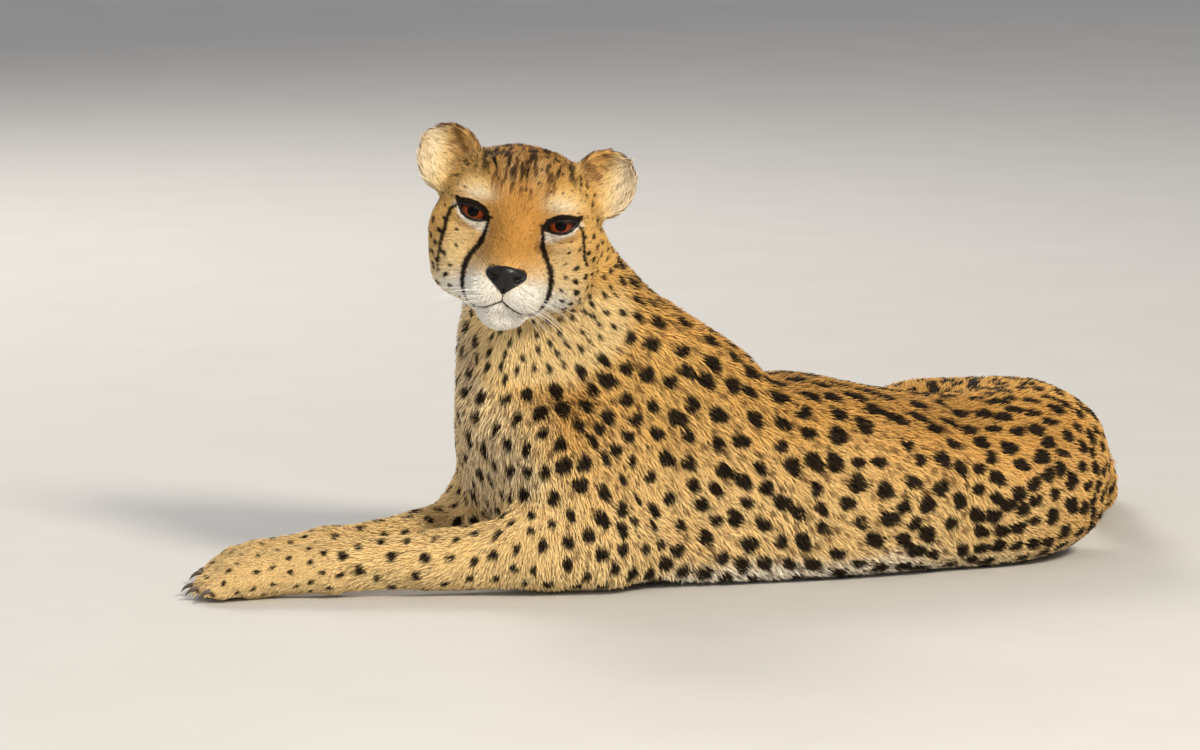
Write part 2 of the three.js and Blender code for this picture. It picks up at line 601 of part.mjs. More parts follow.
tailCuts.slice(1, -1).forEach((from, i) => made.push({
  name: ["tail_middle", "tail_tip"][i], colour: [coat.tawny, coat.white][i],
  solid: largest(tailLength(from, tailCuts[i + 2] - (i ? 0 : gap / tailSpan)).subtract(ground)),
}));

// ---------------------------------------------------------------- the model
const surfaces = {
  nose: { roughness: 0.45 },
  eye_left: { roughness: 0.05 },
  eye_right: { roughness: 0.05 },
};
const bounds = new THREE.Box3();
for (const { solid } of made) {
  const { min, max } = solid.boundingBox();
  bounds.union(new THREE.Box3(v3(min), v3(max)));
}
// The origin is under the middle of the whole, on the floor.
const middle = bounds.getCenter(new THREE.Vector3()).setZ(bounds.min.z);
const cheetah = new THREE.Group();
cheetah.name = "cheetah";
for (const { name, colour, solid } of made) {
  const cut = solid.getMesh();
  const corners3 = new Float32Array(cut.numVert * 3);
  for (let i = 0; i < cut.numVert; i++)
    for (let n = 0; n < 3; n++) corners3[i * 3 + n] = cut.vertProperties[i * cut.numProp + n];
  const geometry = new THREE.BufferGeometry();
  geometry.setAttribute("position", new THREE.BufferAttribute(corners3, 3));
  geometry.setIndex(new THREE.BufferAttribute(new Uint32Array(cut.triVerts), 1));
  geometry.computeVertexNormals();
  const finish = { color: colour, roughness: 0.9, metalness: 0, flatShading: true };
  const mesh = new THREE.Mesh(geometry,
    new THREE.MeshStandardMaterial({ ...finish, ...surfaces[name] }));
  mesh.name = name;
  cheetah.add(mesh);
}
cheetah.position.set(-middle.x, -middle.y, -middle.z);

export default cheetah;
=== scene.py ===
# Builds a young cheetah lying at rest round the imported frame: one skin, its short coat, eyes, nose and claws.
import bpy
import bmesh
import math
import heapq
import numpy as np
from mathutils import Matrix, Vector, bvhtree


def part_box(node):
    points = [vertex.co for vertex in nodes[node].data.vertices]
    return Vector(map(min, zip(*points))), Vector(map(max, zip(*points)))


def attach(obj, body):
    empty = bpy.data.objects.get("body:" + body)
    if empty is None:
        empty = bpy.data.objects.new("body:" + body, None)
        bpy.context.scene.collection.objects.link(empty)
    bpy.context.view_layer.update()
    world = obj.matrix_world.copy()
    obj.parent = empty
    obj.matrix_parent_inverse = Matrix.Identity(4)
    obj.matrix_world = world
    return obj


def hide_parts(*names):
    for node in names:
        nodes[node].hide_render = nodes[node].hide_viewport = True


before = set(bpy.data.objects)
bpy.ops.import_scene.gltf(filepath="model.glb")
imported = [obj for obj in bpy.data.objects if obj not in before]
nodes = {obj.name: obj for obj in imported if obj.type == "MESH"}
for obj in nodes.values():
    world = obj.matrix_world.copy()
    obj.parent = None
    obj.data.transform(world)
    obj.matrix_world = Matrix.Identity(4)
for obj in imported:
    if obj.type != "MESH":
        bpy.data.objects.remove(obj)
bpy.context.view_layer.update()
mm = 0.001


# small helpers

def boxOf(name):
    low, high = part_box(name)
    return np.array(low), np.array(high)


def centreOf(name):
    low, high = boxOf(name)
    return (low + high) / 2


def smoothStep(low, high, x):
    t = np.clip((x - low) / (high - low), 0, 1)
    return t * t * (3 - 2 * t)


def unit(v):
    return v / np.maximum(np.linalg.norm(v, axis=-1, keepdims=True), 1e-12)


def positionsOf(mesh):
    co = np.empty(len(mesh.vertices) * 3, dtype=np.float32)
    mesh.vertices.foreach_get("co", co)
    return co.reshape(-1, 3).astype(float)


def setPositions(mesh, co):
    mesh.vertices.foreach_set("co", np.ascontiguousarray(co, dtype=np.float32).ravel())
    mesh.update()


def normalsOf(mesh):
    normals = np.empty(len(mesh.vertices) * 3, dtype=np.float32)
    mesh.vertices.foreach_get("normal", normals)
    return normals.reshape(-1, 3).astype(float)


def shadeSmooth(mesh):
    mesh.polygons.foreach_set("use_smooth", np.ones(len(mesh.polygons), dtype=bool))


def edgesOf(mesh):
    edges = np.empty(len(mesh.edges) * 2, dtype=np.int32)
    mesh.edges.foreach_get("vertices", edges)
    return edges.reshape(-1, 2)


# the head's own directions, from where the eyes and the nose lie

headValues = {
    "noseForward": 66,  # nose centre from between the eye centres, in mm
    "noseDown": 46.8,
}
eyeLeft, eyeRight, noseCentre = centreOf("eye_left"), centreOf("eye_right"), centreOf("nose")
eyeMiddle = (eyeLeft + eyeRight) / 2
headLeft = unit(eyeLeft - eyeRight)
toNose = noseCentre - eyeMiddle
toNose = unit(toNose - headLeft * toNose.dot(headLeft))
noseDrop = math.atan2(headValues["noseDown"], headValues["noseForward"])
headForward = toNose * math.cos(noseDrop) + np.cross(toNose, headLeft) * math.sin(noseDrop)
headUp = unit(np.cross(headForward, headLeft))


def toHead(points):
    # metres in the frame to mm forward, left and up from between the eyes
    away = (np.asarray(points) - eyeMiddle) / mm
    return np.stack([away @ headForward, away @ headLeft, away @ headUp], axis=-1)


def fromHead(points):
    points = np.asarray(points, dtype=float) * mm
    return eyeMiddle + points[..., :1] * headForward + points[..., 1:2] * headLeft + points[..., 2:3] * headUp


# the skin: all the flesh in one surface

skinValues = {
    "voxel": 2.3,  # mm
    "overlap": 0.45,  # how far each piece swells so that the thin cuts close, mm
    "bodyShare": 0.16,  # faces kept on the broad parts
    "socket": 16.4,  # the balls that fill the eye sockets, in mm
    "firstRounds": 60,  # of smoothing before the broad parts are thinned
    "thinnedShare": 1 / 8,  # of the rounds that are left, as the faces are larger by then
    "blend": 12,  # rounds over which the coat's depth changes from part to part
    "shareBlend": 14,
}
eyeNodes = ["eye_left", "eye_right"]
fleshNodes = [name for name in nodes if name not in eyeNodes]


def fleshCopy():
    builder = bmesh.new()
    for name in fleshNodes:
        piece = bmesh.new()
        piece.from_mesh(nodes[name].data)
        bmesh.ops.remove_doubles(piece, verts=piece.verts, dist=1e-6)
        piece.normal_update()
        for vert in piece.verts:
            vert.co += vert.normal * skinValues["overlap"] * mm
        temporary = bpy.data.meshes.new("piece")
        piece.to_mesh(temporary)
        piece.free()
        builder.from_mesh(temporary)
        bpy.data.meshes.remove(temporary)
    # balls fill the eye sockets, so that the lids can be shaped over the eyes
    for name in eyeNodes:
        place = Matrix.Translation(Vector(centreOf(name)))
        bmesh.ops.create_uvsphere(builder, u_segments=24, v_segments=16,
                                  radius=skinValues["socket"] * mm, matrix=place)
    mesh = bpy.data.meshes.new("skin")
    builder.to_mesh(mesh)
    builder.free()
    return mesh


def smoothed(co, edges, rounds):
    # rounds of averaging with the neighbours; a vertex stops after its own number of rounds
    count = np.bincount(edges.ravel(), minlength=len(co)).astype(float)
    a = np.concatenate([edges[:, 0], edges[:, 1]])
    b = np.concatenate([edges[:, 1], edges[:, 0]])
    rounds = np.broadcast_to(rounds, (len(co),))
    for step in range(int(rounds.max())):
        mean = np.stack([np.bincount(a, co[b, k], minlength=len(co)) for k in range(co.shape[1])], axis=1)
        mean /= count[:, None]
        share = np.clip(rounds - step, 0, 1)[:, None] * 0.5
        co = co + (mean - co) * share
    return co


def makeSkin():
    mesh = fleshCopy()
    skin = bpy.data.objects.new("skin", mesh)
    bpy.context.scene.collection.objects.link(skin)
    bpy.context.view_layer.objects.active = skin
    skin.select_set(True)
    mesh.remesh_voxel_size = skinValues["voxel"] * mm
    mesh.remesh_voxel_adaptivity = 0
    bpy.ops.object.voxel_remesh()
    skin.select_set(False)
    return skin


skin = makeSkin()
print("skin remeshed", len(skin.data.vertices))


def nearestNode(points):
    # the number in fleshNodes of the piece that each point lies on
    corners, faces, owner = [], [], []
    for number, name in enumerate(fleshNodes):
        data = nodes[name].data
        start = len(corners)
        corners.extend(v.co[:] for v in data.vertices)
        for polygon in data.polygons:
            faces.append([start + i for i in polygon.vertices])
            owner.append(number)
    tree = bvhtree.BVHTree.FromPolygons(corners, faces)
    return np.array([owner[tree.find_nearest(Vector(p))[2]] for p in points])


def partOf(name):
    for part in ("face", "head", "ear", "nose", "neck", "chest", "loin", "rump", "tail_tip", "tail", "paw",
                 "forearm", "shank", "upper_arm", "thigh"):
        if name.startswith(part):
            return part


# what the coat and the surface under it do on each part: lengths in mm, rounds of smoothing of the skin
parts = {
    "face": {"rounds": 12, "depth": 1.6, "length": 5.4, "width": 0.45},
    "nose": {"rounds": 12, "depth": 1.0, "length": 3, "width": 0.45},
    "head": {"rounds": 24, "depth": 2.8, "length": 9.5, "width": 0.66},
    "ear": {"rounds": 4, "depth": 0.6, "length": 8, "width": 0.55},
    "neck": {"rounds": 120, "depth": 5.0, "length": 14, "width": 1.05},
    "chest": {"rounds": 260, "depth": 3.6, "length": 10.5, "width": 1.1},
    "loin": {"rounds": 260, "depth": 2.8, "length": 8.5, "width": 1.05},
    "rump": {"rounds": 220, "depth": 2.5, "length": 7.8, "width": 1.0},
    "thigh": {"rounds": 120, "depth": 2.5, "length": 7.8, "width": 1.0},
    "upper_arm": {"rounds": 120, "depth": 2.8, "length": 9, "width": 1.05},
    "forearm": {"rounds": 50, "depth": 2.4, "length": 8, "width": 0.95},
    "shank": {"rounds": 50, "depth": 2.4, "length": 8, "width": 0.95},
    "paw": {"rounds": 14, "depth": 1.4, "length": 4.4, "width": 0.62},
    "tail": {"rounds": 40, "depth": 3.5, "length": 11, "width": 1.05},
    "tail_tip": {"rounds": 40, "depth": 4.5, "length": 20, "width": 1.2},
}
partNames = [partOf(name) for name in fleshNodes]


def partValue(owner, key):
    return np.array([float(parts[name][key]) for name in partNames])[owner]


def keepLargest(mesh):
    builder = bmesh.new()
    builder.from_mesh(mesh)
    label = {}
    groups = []
    for seed in builder.verts:
        if seed in label:
            continue
        group, queue = [], [seed]
        label[seed] = True
        while queue:
            vert = queue.pop()
            group.append(vert)
            for edge in vert.link_edges:
                other = edge.other_vert(vert)
                if other not in label:
                    label[other] = True
                    queue.append(other)
        groups.append(group)
    groups.sort(key=len, reverse=True)
    stray = [vert for group in groups[1:] for vert in group]
    bmesh.ops.delete(builder, geom=stray, context="VERTS")
    builder.to_mesh(mesh)
    builder.free()


keepLargest(skin.data)
owner = nearestNode(positionsOf(skin.data))
edges = edgesOf(skin.data)
rounds = smoothed(partValue(owner, "rounds")[:, None], edges, 20)[:, 0]
rounds = np.minimum(rounds, skinValues["firstRounds"])
setPositions(skin.data, smoothed(positionsOf(skin.data), edges, rounds))


def apply(piece):
    # the modifiers' result becomes the mesh
    depsgraph = bpy.context.evaluated_depsgraph_get()
    result = bpy.data.meshes.new_from_object(piece.evaluated_get(depsgraph))
    old = piece.data
    piece.modifiers.clear()
    piece.data = result
    bpy.data.meshes.remove(old)


def thinBody(owner):
    # the broad parts keep fewer faces; the face, ears and paws keep theirs
    fine = ("face", "nose", "ear", "head", "paw")
    keep = np.isin(owner, [n for n, name in enumerate(partNames) if name in fine])
    group = skin.vertex_groups.new(name="broad")
    group.add([int(i) for i in np.nonzero(~keep)[0]], 1.0, "REPLACE")
    thin = skin.modifiers.new("thin", "DECIMATE")
    thin.vertex_group = "broad"
    thin.ratio = (keep.sum() + (~keep).sum() * skinValues["bodyShare"]) / len(keep)
    apply(skin)
    skin.vertex_groups.clear()


thinBody(owner)
owner = nearestNode(positionsOf(skin.data))
edges = edgesOf(skin.data)
rounds = smoothed(partValue(owner, "rounds")[:, None], edges, 8)[:, 0]
rounds = np.maximum(rounds - skinValues["firstRounds"], 0) * skinValues["thinnedShare"]
setPositions(skin.data, smoothed(positionsOf(skin.data), edges, rounds))
print("skin smoothed and thinned", len(skin.data.vertices))


# the head's finer forms, in mm forward, left and up from between the eyes

eyeValues = {
    "half": np.linalg.norm(eyeLeft - eyeRight) / mm / 2,
    "radius": 16.0,
    "slant": 20,  # degrees that the outer corner is raised
    "halfWidth": 13.4,
    "upper": 4.2,
    "lower": 5.9,
    "lid": 1.5,  # how far the lid stands over the eyeball
    "upperArch": 0.75,  # smaller is fuller
    "lowerArch": 0.85,
    "skew": 0.22,  # the upper lid is highest towards the inner corner
    "fold": 0.9,  # the soft fold beyond the rim
    "hollow": 3.2,  # how far the skin lies behind the eyeball's front within the opening
}


def eyeSides():
    return ((1, eyeValues["half"]), (-1, -eyeValues["half"]))


def lidHeights(along):
    # the upper and the lower lid's height over the line between the corners; along runs from -1 to 1
    arch, skew = 1 - along ** 2, 1 + eyeValues["skew"] * along
    upper = eyeValues["upper"] * arch ** eyeValues["upperArch"] * (2 - skew)
    return upper, -eyeValues["lower"] * arch ** eyeValues["lowerArch"] * skew


def inOpening(points, side):
    # below 0 inside the opening between the lids, in mm; points are in the head's directions
    x = side * (points[:, 1] - side * eyeValues["half"])
    y = points[:, 2]
    slant = math.radians(eyeValues["slant"])
    along = x * math.cos(slant) + y * math.sin(slant)
    above = y * math.cos(slant) - x * math.sin(slant)
    wide = eyeValues["halfWidth"]
    within = np.clip(along / wide, -1, 1)
    top, bottom = lidHeights(within)
    outside = np.maximum(above - top, bottom - above)
    return np.maximum(outside, np.abs(along) - wide)


def mound(points, centre, radii):
    away = (points - np.array(centre)) / np.array(radii)
    return np.exp(-np.sum(away ** 2, axis=1))


def mirrored(points, centre, radii):
    return mound(points, centre, radii) + mound(points, (centre[0], -centre[1], centre[2]), radii)


mouthValues = {
    "middle": -64.5,  # mm above the eyes' level, where the lips meet under the nose
    "droop": 10.5,
    "half": 25,
    "corner": [(28, -72), (31, -68), (34, -62)],  # from the ends of the lips up the cheek
    "rightEnd": -24,  # mm to the left where the dark of the lips fades on the right side
    "deep": 2.4,
    "wide": 1.7,
    "furrowFoot": 56,  # mm under the eyes, where the furrow leaves the nose
}


def mouthHeight(left):
    side = np.clip(np.abs(left) / mouthValues["half"], 0, 1)
    return mouthValues["middle"] - mouthValues["droop"] * np.sin(side * math.pi / 2)


def mouthPoints():
    # mm left and up, along the closed lips
    left = np.arange(0, mouthValues["half"] + 0.1, 0.8)
    half = [(l, mouthHeight(l)) for l in left]
    ends = [half[-1]] + mouthValues["corner"]
    for (l0, u0), (l1, u1) in zip(ends[:-1], ends[1:]):
        half += [(l0 + (l1 - l0) * t, u0 + (u1 - u0) * t) for t in (0.2, 0.4, 0.6, 0.8, 1.0)]
    return np.array(half + [(-l, u) for l, u in half[1:]])


def distanceToMouth(points):
    # mm from the closed lips and from the furrow up to the nose; far behind the corners it is large
    away = np.full(len(points), 50.0)
    front = np.nonzero((points[:, 0] > 0) & (np.abs(points[:, 1]) < 60) & (points[:, 2] < -40))[0]
    line = mouthPoints()
    away[front] = np.linalg.norm(points[front, None, 1:] - line[None], axis=2).min(axis=1)
    beyond = np.maximum(points[:, 2] + mouthValues["furrowFoot"], 0)
    beyond += np.maximum(mouthValues["middle"] - points[:, 2], 0)
    away = np.minimum(away, np.hypot(points[:, 1], beyond) + 0.5)
    return away + np.maximum(14 - points[:, 0], 0)


# mm outwards, where forward, left and up, and the half sizes; each to the side lies on both sides
faceForms = [
    (2.6, (58, 15, -62), (14, 10, 9)),  # whisker pads
    (-1.4, (36, 30, -40), (18, 8, 14)),  # hollow behind them
    (1.8, (14, 34, 17), (12, 16, 6)),  # brows
    (-1.2, (4, 34, 27), (16, 16, 8)),
    (1.4, (9, 40, -17), (14, 17, 5)),  # lower lid's bag
    (1.4, (-4, 52, -34), (16, 12, 18)),  # cheek
    (-0.8, (60, 0, -60), (14, 2.4, 6)),  # furrow under the nose
    (-1.4, (28, 0, 8), (24, 8, 28)),  # dip along the forehead
    (2.0, (50, 0, -83), (14, 17, 9)),  # chin
]


def formed(points, centre, radii):
    return (mirrored if centre[1] else mound)(points, centre, radii)


def refineFace(mesh):
    builder = bmesh.new()
    builder.from_mesh(mesh)
    co = toHead([v.co[:] for v in builder.verts])
    fine = (co[:, 0] > -14) & (np.abs(co[:, 1]) < 60) & (co[:, 2] > -96) & (co[:, 2] < 26) & (co[:, 0] < 120)
    chosen = [e for e in builder.edges if fine[e.verts[0].index] and fine[e.verts[1].index]]
    bmesh.ops.subdivide_edges(builder, edges=chosen, cuts=1, use_grid_fill=True)
    bmesh.ops.triangulate(builder, faces=[f for f in builder.faces if len(f.verts) > 4])
    builder.to_mesh(mesh)
    builder.free()


def shapeFace(mesh):
    co = toHead(positionsOf(mesh))
    normal = normalsOf(mesh)
    normal = np.stack([normal @ headForward, normal @ headLeft, normal @ headUp], axis=1)
    near = (np.abs(co[:, 0] - 14) < 90) & (np.abs(co[:, 1]) < 80) & (np.abs(co[:, 2] + 20) < 95)
    push = np.zeros(len(co))
    for amount, centre, radii in faceForms:
        push += amount * formed(co, centre, radii)
    push -= mouthValues["deep"] * np.exp(-(distanceToMouth(co) / mouthValues["wide"]) ** 2)
    co[near] += normal[near] * push[near, None]
    for side, place in eyeSides():
        away = co - np.array([0, place, 0])
        reach = np.linalg.norm(away, axis=1)
        outside = inOpening(co, side)
        over = (away[:, 0] > 0) & (np.hypot(away[:, 1], away[:, 2]) < 27)
        lid = eyeValues["radius"] + eyeValues["lid"] * (1 - 0.25 * smoothStep(0, 8, outside))
        lid += eyeValues["fold"] * np.exp(-((outside - 5.5) / 2.2) ** 2)
        wanted = np.where(outside > -0.5, np.maximum(reach, lid), eyeValues["radius"] - eyeValues["hollow"])
        beyond = smoothStep(7, 14, outside)
        wanted = wanted * (1 - beyond) + np.maximum(reach, eyeValues["radius"] - 1) * beyond
        wanted = np.where(over, wanted, reach)
        co = co + away * ((wanted - reach) / np.maximum(reach, 1e-6))[:, None]
    setPositions(mesh, fromHead(co))


def insetSkin(mesh, owner, edges):
    # the skin lies inside the solids by the depth of the coat
    depth = smoothed(partValue(owner, "depth")[:, None], edges, skinValues["blend"])
    setPositions(mesh, positionsOf(mesh) - normalsOf(mesh) * depth * mm)


# toes: the ball of each foot, in mm from between the eyes, and the way that the paw points

pawValues = {
    "feet": {
        "foreLeft": ((-214.4, 51.5, -291.0), 172),
        "foreRight": ((-190.4, 115.5, -292.0), 181),
        "hindLeft": ((327.6, 422.5, -292.0), 148),
        "hindRight": ((485.6, 382.5, -290.0), 138),
    },
    "spread": [-30, -11, 9, 28],  # degrees
    "reach": [30, 38, 37, 29],
    "side": [-17, -6, 6, 17],
    "round": 9.4,  # a toe's end
    "cleft": 2.6,
    "knuckle": 1.5,
    "height": 9.5,  # of the ends over the floor
    "near": 70,  # mm round each foot that are shaped
}


def toesOf(foot):
    # for each toe its root, its end and its heading, in metres and radians
    place, heading = pawValues["feet"][foot]
    place = eyeMiddle / mm + np.array(place)
    root = math.radians(heading)
    toes = []
    for spread, reach, side in zip(pawValues["spread"], pawValues["reach"], pawValues["side"]):
        angle = math.radians(heading + spread * 0.45)
        start = place + np.array([-side * math.sin(root), side * math.cos(root), -3])
        end = np.array([start[0] + reach * math.cos(angle), start[1] + reach * math.sin(angle),
                        pawValues["height"]])
        toes.append((start * mm, end * mm, angle))
    return toes


def shapeToes(mesh):
    co = positionsOf(mesh)
    normal = normalsOf(mesh)
    rounded = pawValues["round"] * mm
    level = np.array([1, 1, 0])
    for foot in pawValues["feet"]:
        toes = toesOf(foot)
        near = np.nonzero(np.linalg.norm(co - toes[1][1], axis=1) < pawValues["near"] * mm)[0]
        place = co[near]
        ends = np.array([end for start, end, angle in toes])
        for start, end, angle in toes:
            # what is left of the claw is drawn back to the end of the toe
            away = place - end
            reach = np.linalg.norm(away, axis=1)
            ahead = away @ np.array([math.cos(angle), math.sin(angle), 0])
            others = np.linalg.norm(place[:, None] - ends[None], axis=2).min(axis=1)
            over = (ahead > 0.002) & (reach > rounded) & (reach < others + 1e-6) & (reach < 0.03)
            place[over] = end + away[over] * (rounded / reach[over])[:, None]
        push = np.zeros(len(near))
        for (startA, endA, angleA), (startB, endB, angleB) in zip(toes[:-1], toes[1:]):
            start, end = (startA + endA) / 2, (endA + endB) / 2
            way = unit(np.array([end[0] - start[0], end[1] - start[1], 0]))
            end = end + way * 0.012
            start = start - way * 0.004
            flat = place * level
            t = np.clip((flat - start * level) @ way / np.linalg.norm((end - start)[:2]), 0, 1)
            line = start + (end - start) * t[:, None]
            apart = np.linalg.norm((flat - line)[:, :2], axis=1) / mm
            push -= pawValues["cleft"] * np.exp(-(apart / 2.0) ** 2) * smoothStep(0, 0.45, t)
        for start, end, angle in toes:
            knuckle = start + (end - start) * 0.5
            apart = np.linalg.norm((place - knuckle)[:, :2], axis=1) / mm
            push += pawValues["knuckle"] * np.exp(-(apart / 5.5) ** 2)
        upper = smoothStep(-0.35, 0.15, normal[near, 2])
        co[near] = place + normal[near] * (push * upper * mm)[:, None]
    setPositions(mesh, co)


insetSkin(skin.data, owner, edges)
shapeToes(skin.data)
refineFace(skin.data)
shapeFace(skin.data)
print("face shaped", len(skin.data.vertices))


def unwrap(piece):
    piece.data.uv_layers.new(name="OFBake")
    bpy.context.view_layer.objects.active = piece
    piece.select_set(True)
    bpy.ops.object.mode_set(mode="EDIT")
    bpy.ops.mesh.select_all(action="SELECT")
    bpy.ops.uv.smart_project(angle_limit=math.radians(66), island_margin=0.001)
    bpy.ops.object.mode_set(mode="OBJECT")
    piece.select_set(False)


unwrap(skin)
print("skin unwrapped")


# the lie of the coat: away from the nose along the surface

lieValues = {
    "down": 0.22,  # how far the hair of the flanks turns towards the floor
    "rounds": 10,
    "noseTip": (72, 0, -44),
}


def distanceAlong(co, edges, start):
    lengths = np.linalg.norm(co[edges[:, 0]] - co[edges[:, 1]], axis=1)
    links = [[] for place in co]
    for (a, b), length in zip(edges.tolist(), lengths.tolist()):
        links[a].append((b, length))
        links[b].append((a, length))
    far = [math.inf] * len(co)
    far[start] = 0.0
    queue = [(0.0, start)]
    while queue:
        reached, a = heapq.heappop(queue)
        if reached > far[a]:
            continue
        for b, length in links[a]:
            if reached + length < far[b]:
                far[b] = reached + length
                heapq.heappush(queue, (far[b], b))
    return np.array(far)


def tangent(vectors, normal):
    return unit(vectors - normal * np.sum(vectors * normal, axis=1, keepdims=True))


def lieOfCoat(co, normal, edges, far, trunk):
    a = np.concatenate([edges[:, 0], edges[:, 1]])
    b = np.concatenate([edges[:, 1], edges[:, 0]])
    step = co[b] - co[a]
    pull = step * ((far[b] - far[a]) / np.sum(step ** 2, axis=1))[:, None]
    lie = np.stack([np.bincount(a, pull[:, k], minlength=len(co)) for k in range(3)], axis=1)
    lie = tangent(lie, normal)
    lie[:, 2] -= lieValues["down"] * trunk
    for step in range(3):
        lie = tangent(smoothed(lie, edges, lieValues["rounds"]), normal)
    return lie


co = positionsOf(skin.data)
normal = normalsOf(skin.data)
edges = edgesOf(skin.data)
owner = nearestNode(co)
trunkNodes = [n for n, name in enumerate(partNames) if name in ("chest", "loin", "neck")]
trunk = np.isin(owner, trunkNodes).astype(float)
noseTip = int(np.argmin(np.linalg.norm(toHead(co) - np.array(lieValues["noseTip"]), axis=1)))
far = smoothed(distanceAlong(co, edges, noseTip)[:, None], edges, 6)[:, 0]
lie = lieOfCoat(co, normal, edges, far, trunk)
print("lie of the coat found, longest way", round(far.max(), 2))


# the share of every part at every point of the skin, soft across their borders

kinds = list(parts)
shares = np.array([[float(name == kind) for kind in kinds] for name in partNames])[owner]
shares = smoothed(shares, edges, skinValues["shareBlend"])


def shareOf(shares, *names):
    return sum(shares[:, kinds.index(name)] for name in names)


def mixedValue(shares, key):
    return shares @ np.array([float(parts[kind][key]) for kind in kinds])


# colours of the coat, linear

coatColours = {
    "tawny": (0.71, 0.42, 0.125),
    "orange": (0.57, 0.265, 0.052),
    "cream": (0.86, 0.64, 0.31),
    "white": (0.92, 0.87, 0.77),
    "black": (0.007, 0.005, 0.003),
    "brown": (0.115, 0.045, 0.014),
}


def blendTo(colour, name, share):
    return colour + (np.array(coatColours[name]) - colour) * np.clip(share, 0, 1)[:, None]


def sway(points, size, seed):
    # a slow wave over space, from -1 to 1; size in mm
    place = points / mm / size * 2 * math.pi
    turn = np.random.default_rng(seed).uniform(-1, 1, (4, 4))
    waves = [np.sin(place @ row[:3] + row[3] * 9) for row in turn]
    return sum(waves) / 4


farthest = far.max()
tailEnd = co[np.argmax(far)]


def turnedFromBack(points, normals):
    # degrees that the surface is turned from the line of the back, which rolls over towards the hips
    roll = np.radians(np.interp(points[:, 0], [-0.10, 0.05, 0.22, 0.33], [3, 10, 32, 74]))
    above = normals[:, 2] * np.cos(roll) - normals[:, 1] * np.sin(roll)
    return np.degrees(np.arccos(np.clip(above, -1, 1)))


# strength, mm left and up, and the half sizes; each to the side lies on both sides
faceMarks = {
    "nearMiddle": [(0.7, (17, 26), (5, 16))],
    "pale": [(0.8, (40, -22), (14, 14)), (1.25, (34, 18), (13, 8)), (0.9, (50, -44), (18, 16)),
             (0.5, (12, 40), (8, 14))],
    "overEye": [(0.45, (34, 15), (12, 5))],
    "innerBrow": [(0.6, (20.5, 25), (2.4, 9))],
    "muzzle": [(1.5, (20, -59), (17, 14)), (1.4, (0, -84), (27, 15)), (1.1, (48, -66), (15, 12))],
}


def marked(head, name):
    flat = head * np.array([0, 1, 1])
    spread = faceMarks[name]
    return sum(strength * formed(flat, (0, *place), (1, *radii)) for strength, place, radii in spread)


def bodyLayers(points, normals, shares, head):
    # cream and white below and in front, darker along the spine, and a painted shadow on the throat under the
    # chin
    turned = turnedFromBack(points, normals)
    body = shareOf(shares, "chest", "loin", "rump", "neck", "tail", "tail_tip", "thigh", "upper_arm")
    spine = shareOf(shares, "chest", "loin", "rump", "neck") * smoothStep(40, 10, turned)
    spine += shareOf(shares, "neck") * smoothStep(0.2, 0.8, normals[:, 0])
    low = shareOf(shares, "rump", "thigh") * smoothStep(0.38, 0.22, points[:, 0])
    low += shareOf(shares, "chest", "loin", "upper_arm")
    low *= smoothStep(0.13, 0.04, points[:, 2] + 0.02 * sway(points, 120, 41))
    fringe = shareOf(shares, "chest", "loin") + shareOf(shares, "rump") * 0.3
    fringe *= smoothStep(0.030, 0.006, points[:, 2] + 0.009 * sway(points, 45, 43))
    front = smoothStep(0.05, 0.75, -normals[:, 0]) * shareOf(shares, "chest", "neck", "upper_arm")
    front *= smoothStep(0.34, 0.24, points[:, 2])
    # painted shadow: the throat under the chin is darkened with brown, where the head shades it
    paintedChinShadow = shareOf(shares, "neck", "chest") * mound(head, (-30, 0, -118), (60, 62, 26))
    limbs = shareOf(shares, "forearm", "shank", "paw")
    tip = shareOf(shares, "tail_tip")
    return [
        ("orange", body * smoothStep(75, 20, turned) * 0.5),
        ("orange", shareOf(shares, "rump", "thigh") * 0.14),
        ("brown", spine * 0.22),
        ("cream", body * smoothStep(80, 122, turned) * 0.85),
        ("white", body * smoothStep(118, 158, turned) * 0.75),
        ("cream", low * 0.55),
        ("white", fringe * 0.75),
        ("cream", front * 0.85),
        ("white", front * smoothStep(0.5, 1.0, -normals[:, 0]) * 0.2),
        # the painted shadow under the chin
        ("brown", paintedChinShadow * 0.4),
        ("cream", limbs * 0.7 + shareOf(shares, "upper_arm") * 0.3),
        ("cream", limbs * smoothStep(0.1, -0.7, normals[:, 2]) * 0.8),
        ("cream", tip * smoothStep(75, 120, turned) * 0.7),
        ("white", tip * smoothStep(95, 140, turned) * 0.5),
        ("white", tip * smoothStep(0.046, 0.034, np.linalg.norm(points - tailEnd, axis=1))),
    ]


def underEyes(head):
    # for each eye, the white beside the tear line and below the lower lid
    side, up = np.abs(head[:, 1]), head[:, 2]
    reach = 5.5 + 10 * smoothStep(42, 25, side)  # the white is deepest beside the tear line
    for eyeSide, place in eyeSides():
        under = smoothStep(reach, reach * 0.4, inOpening(head, eyeSide)) * smoothStep(19, 23, side)
        under *= smoothStep(2, -5, up - 0.35 * eyeSide * (head[:, 1] - place))
        yield under * (np.hypot(head[:, 1] - place, up) < 30)


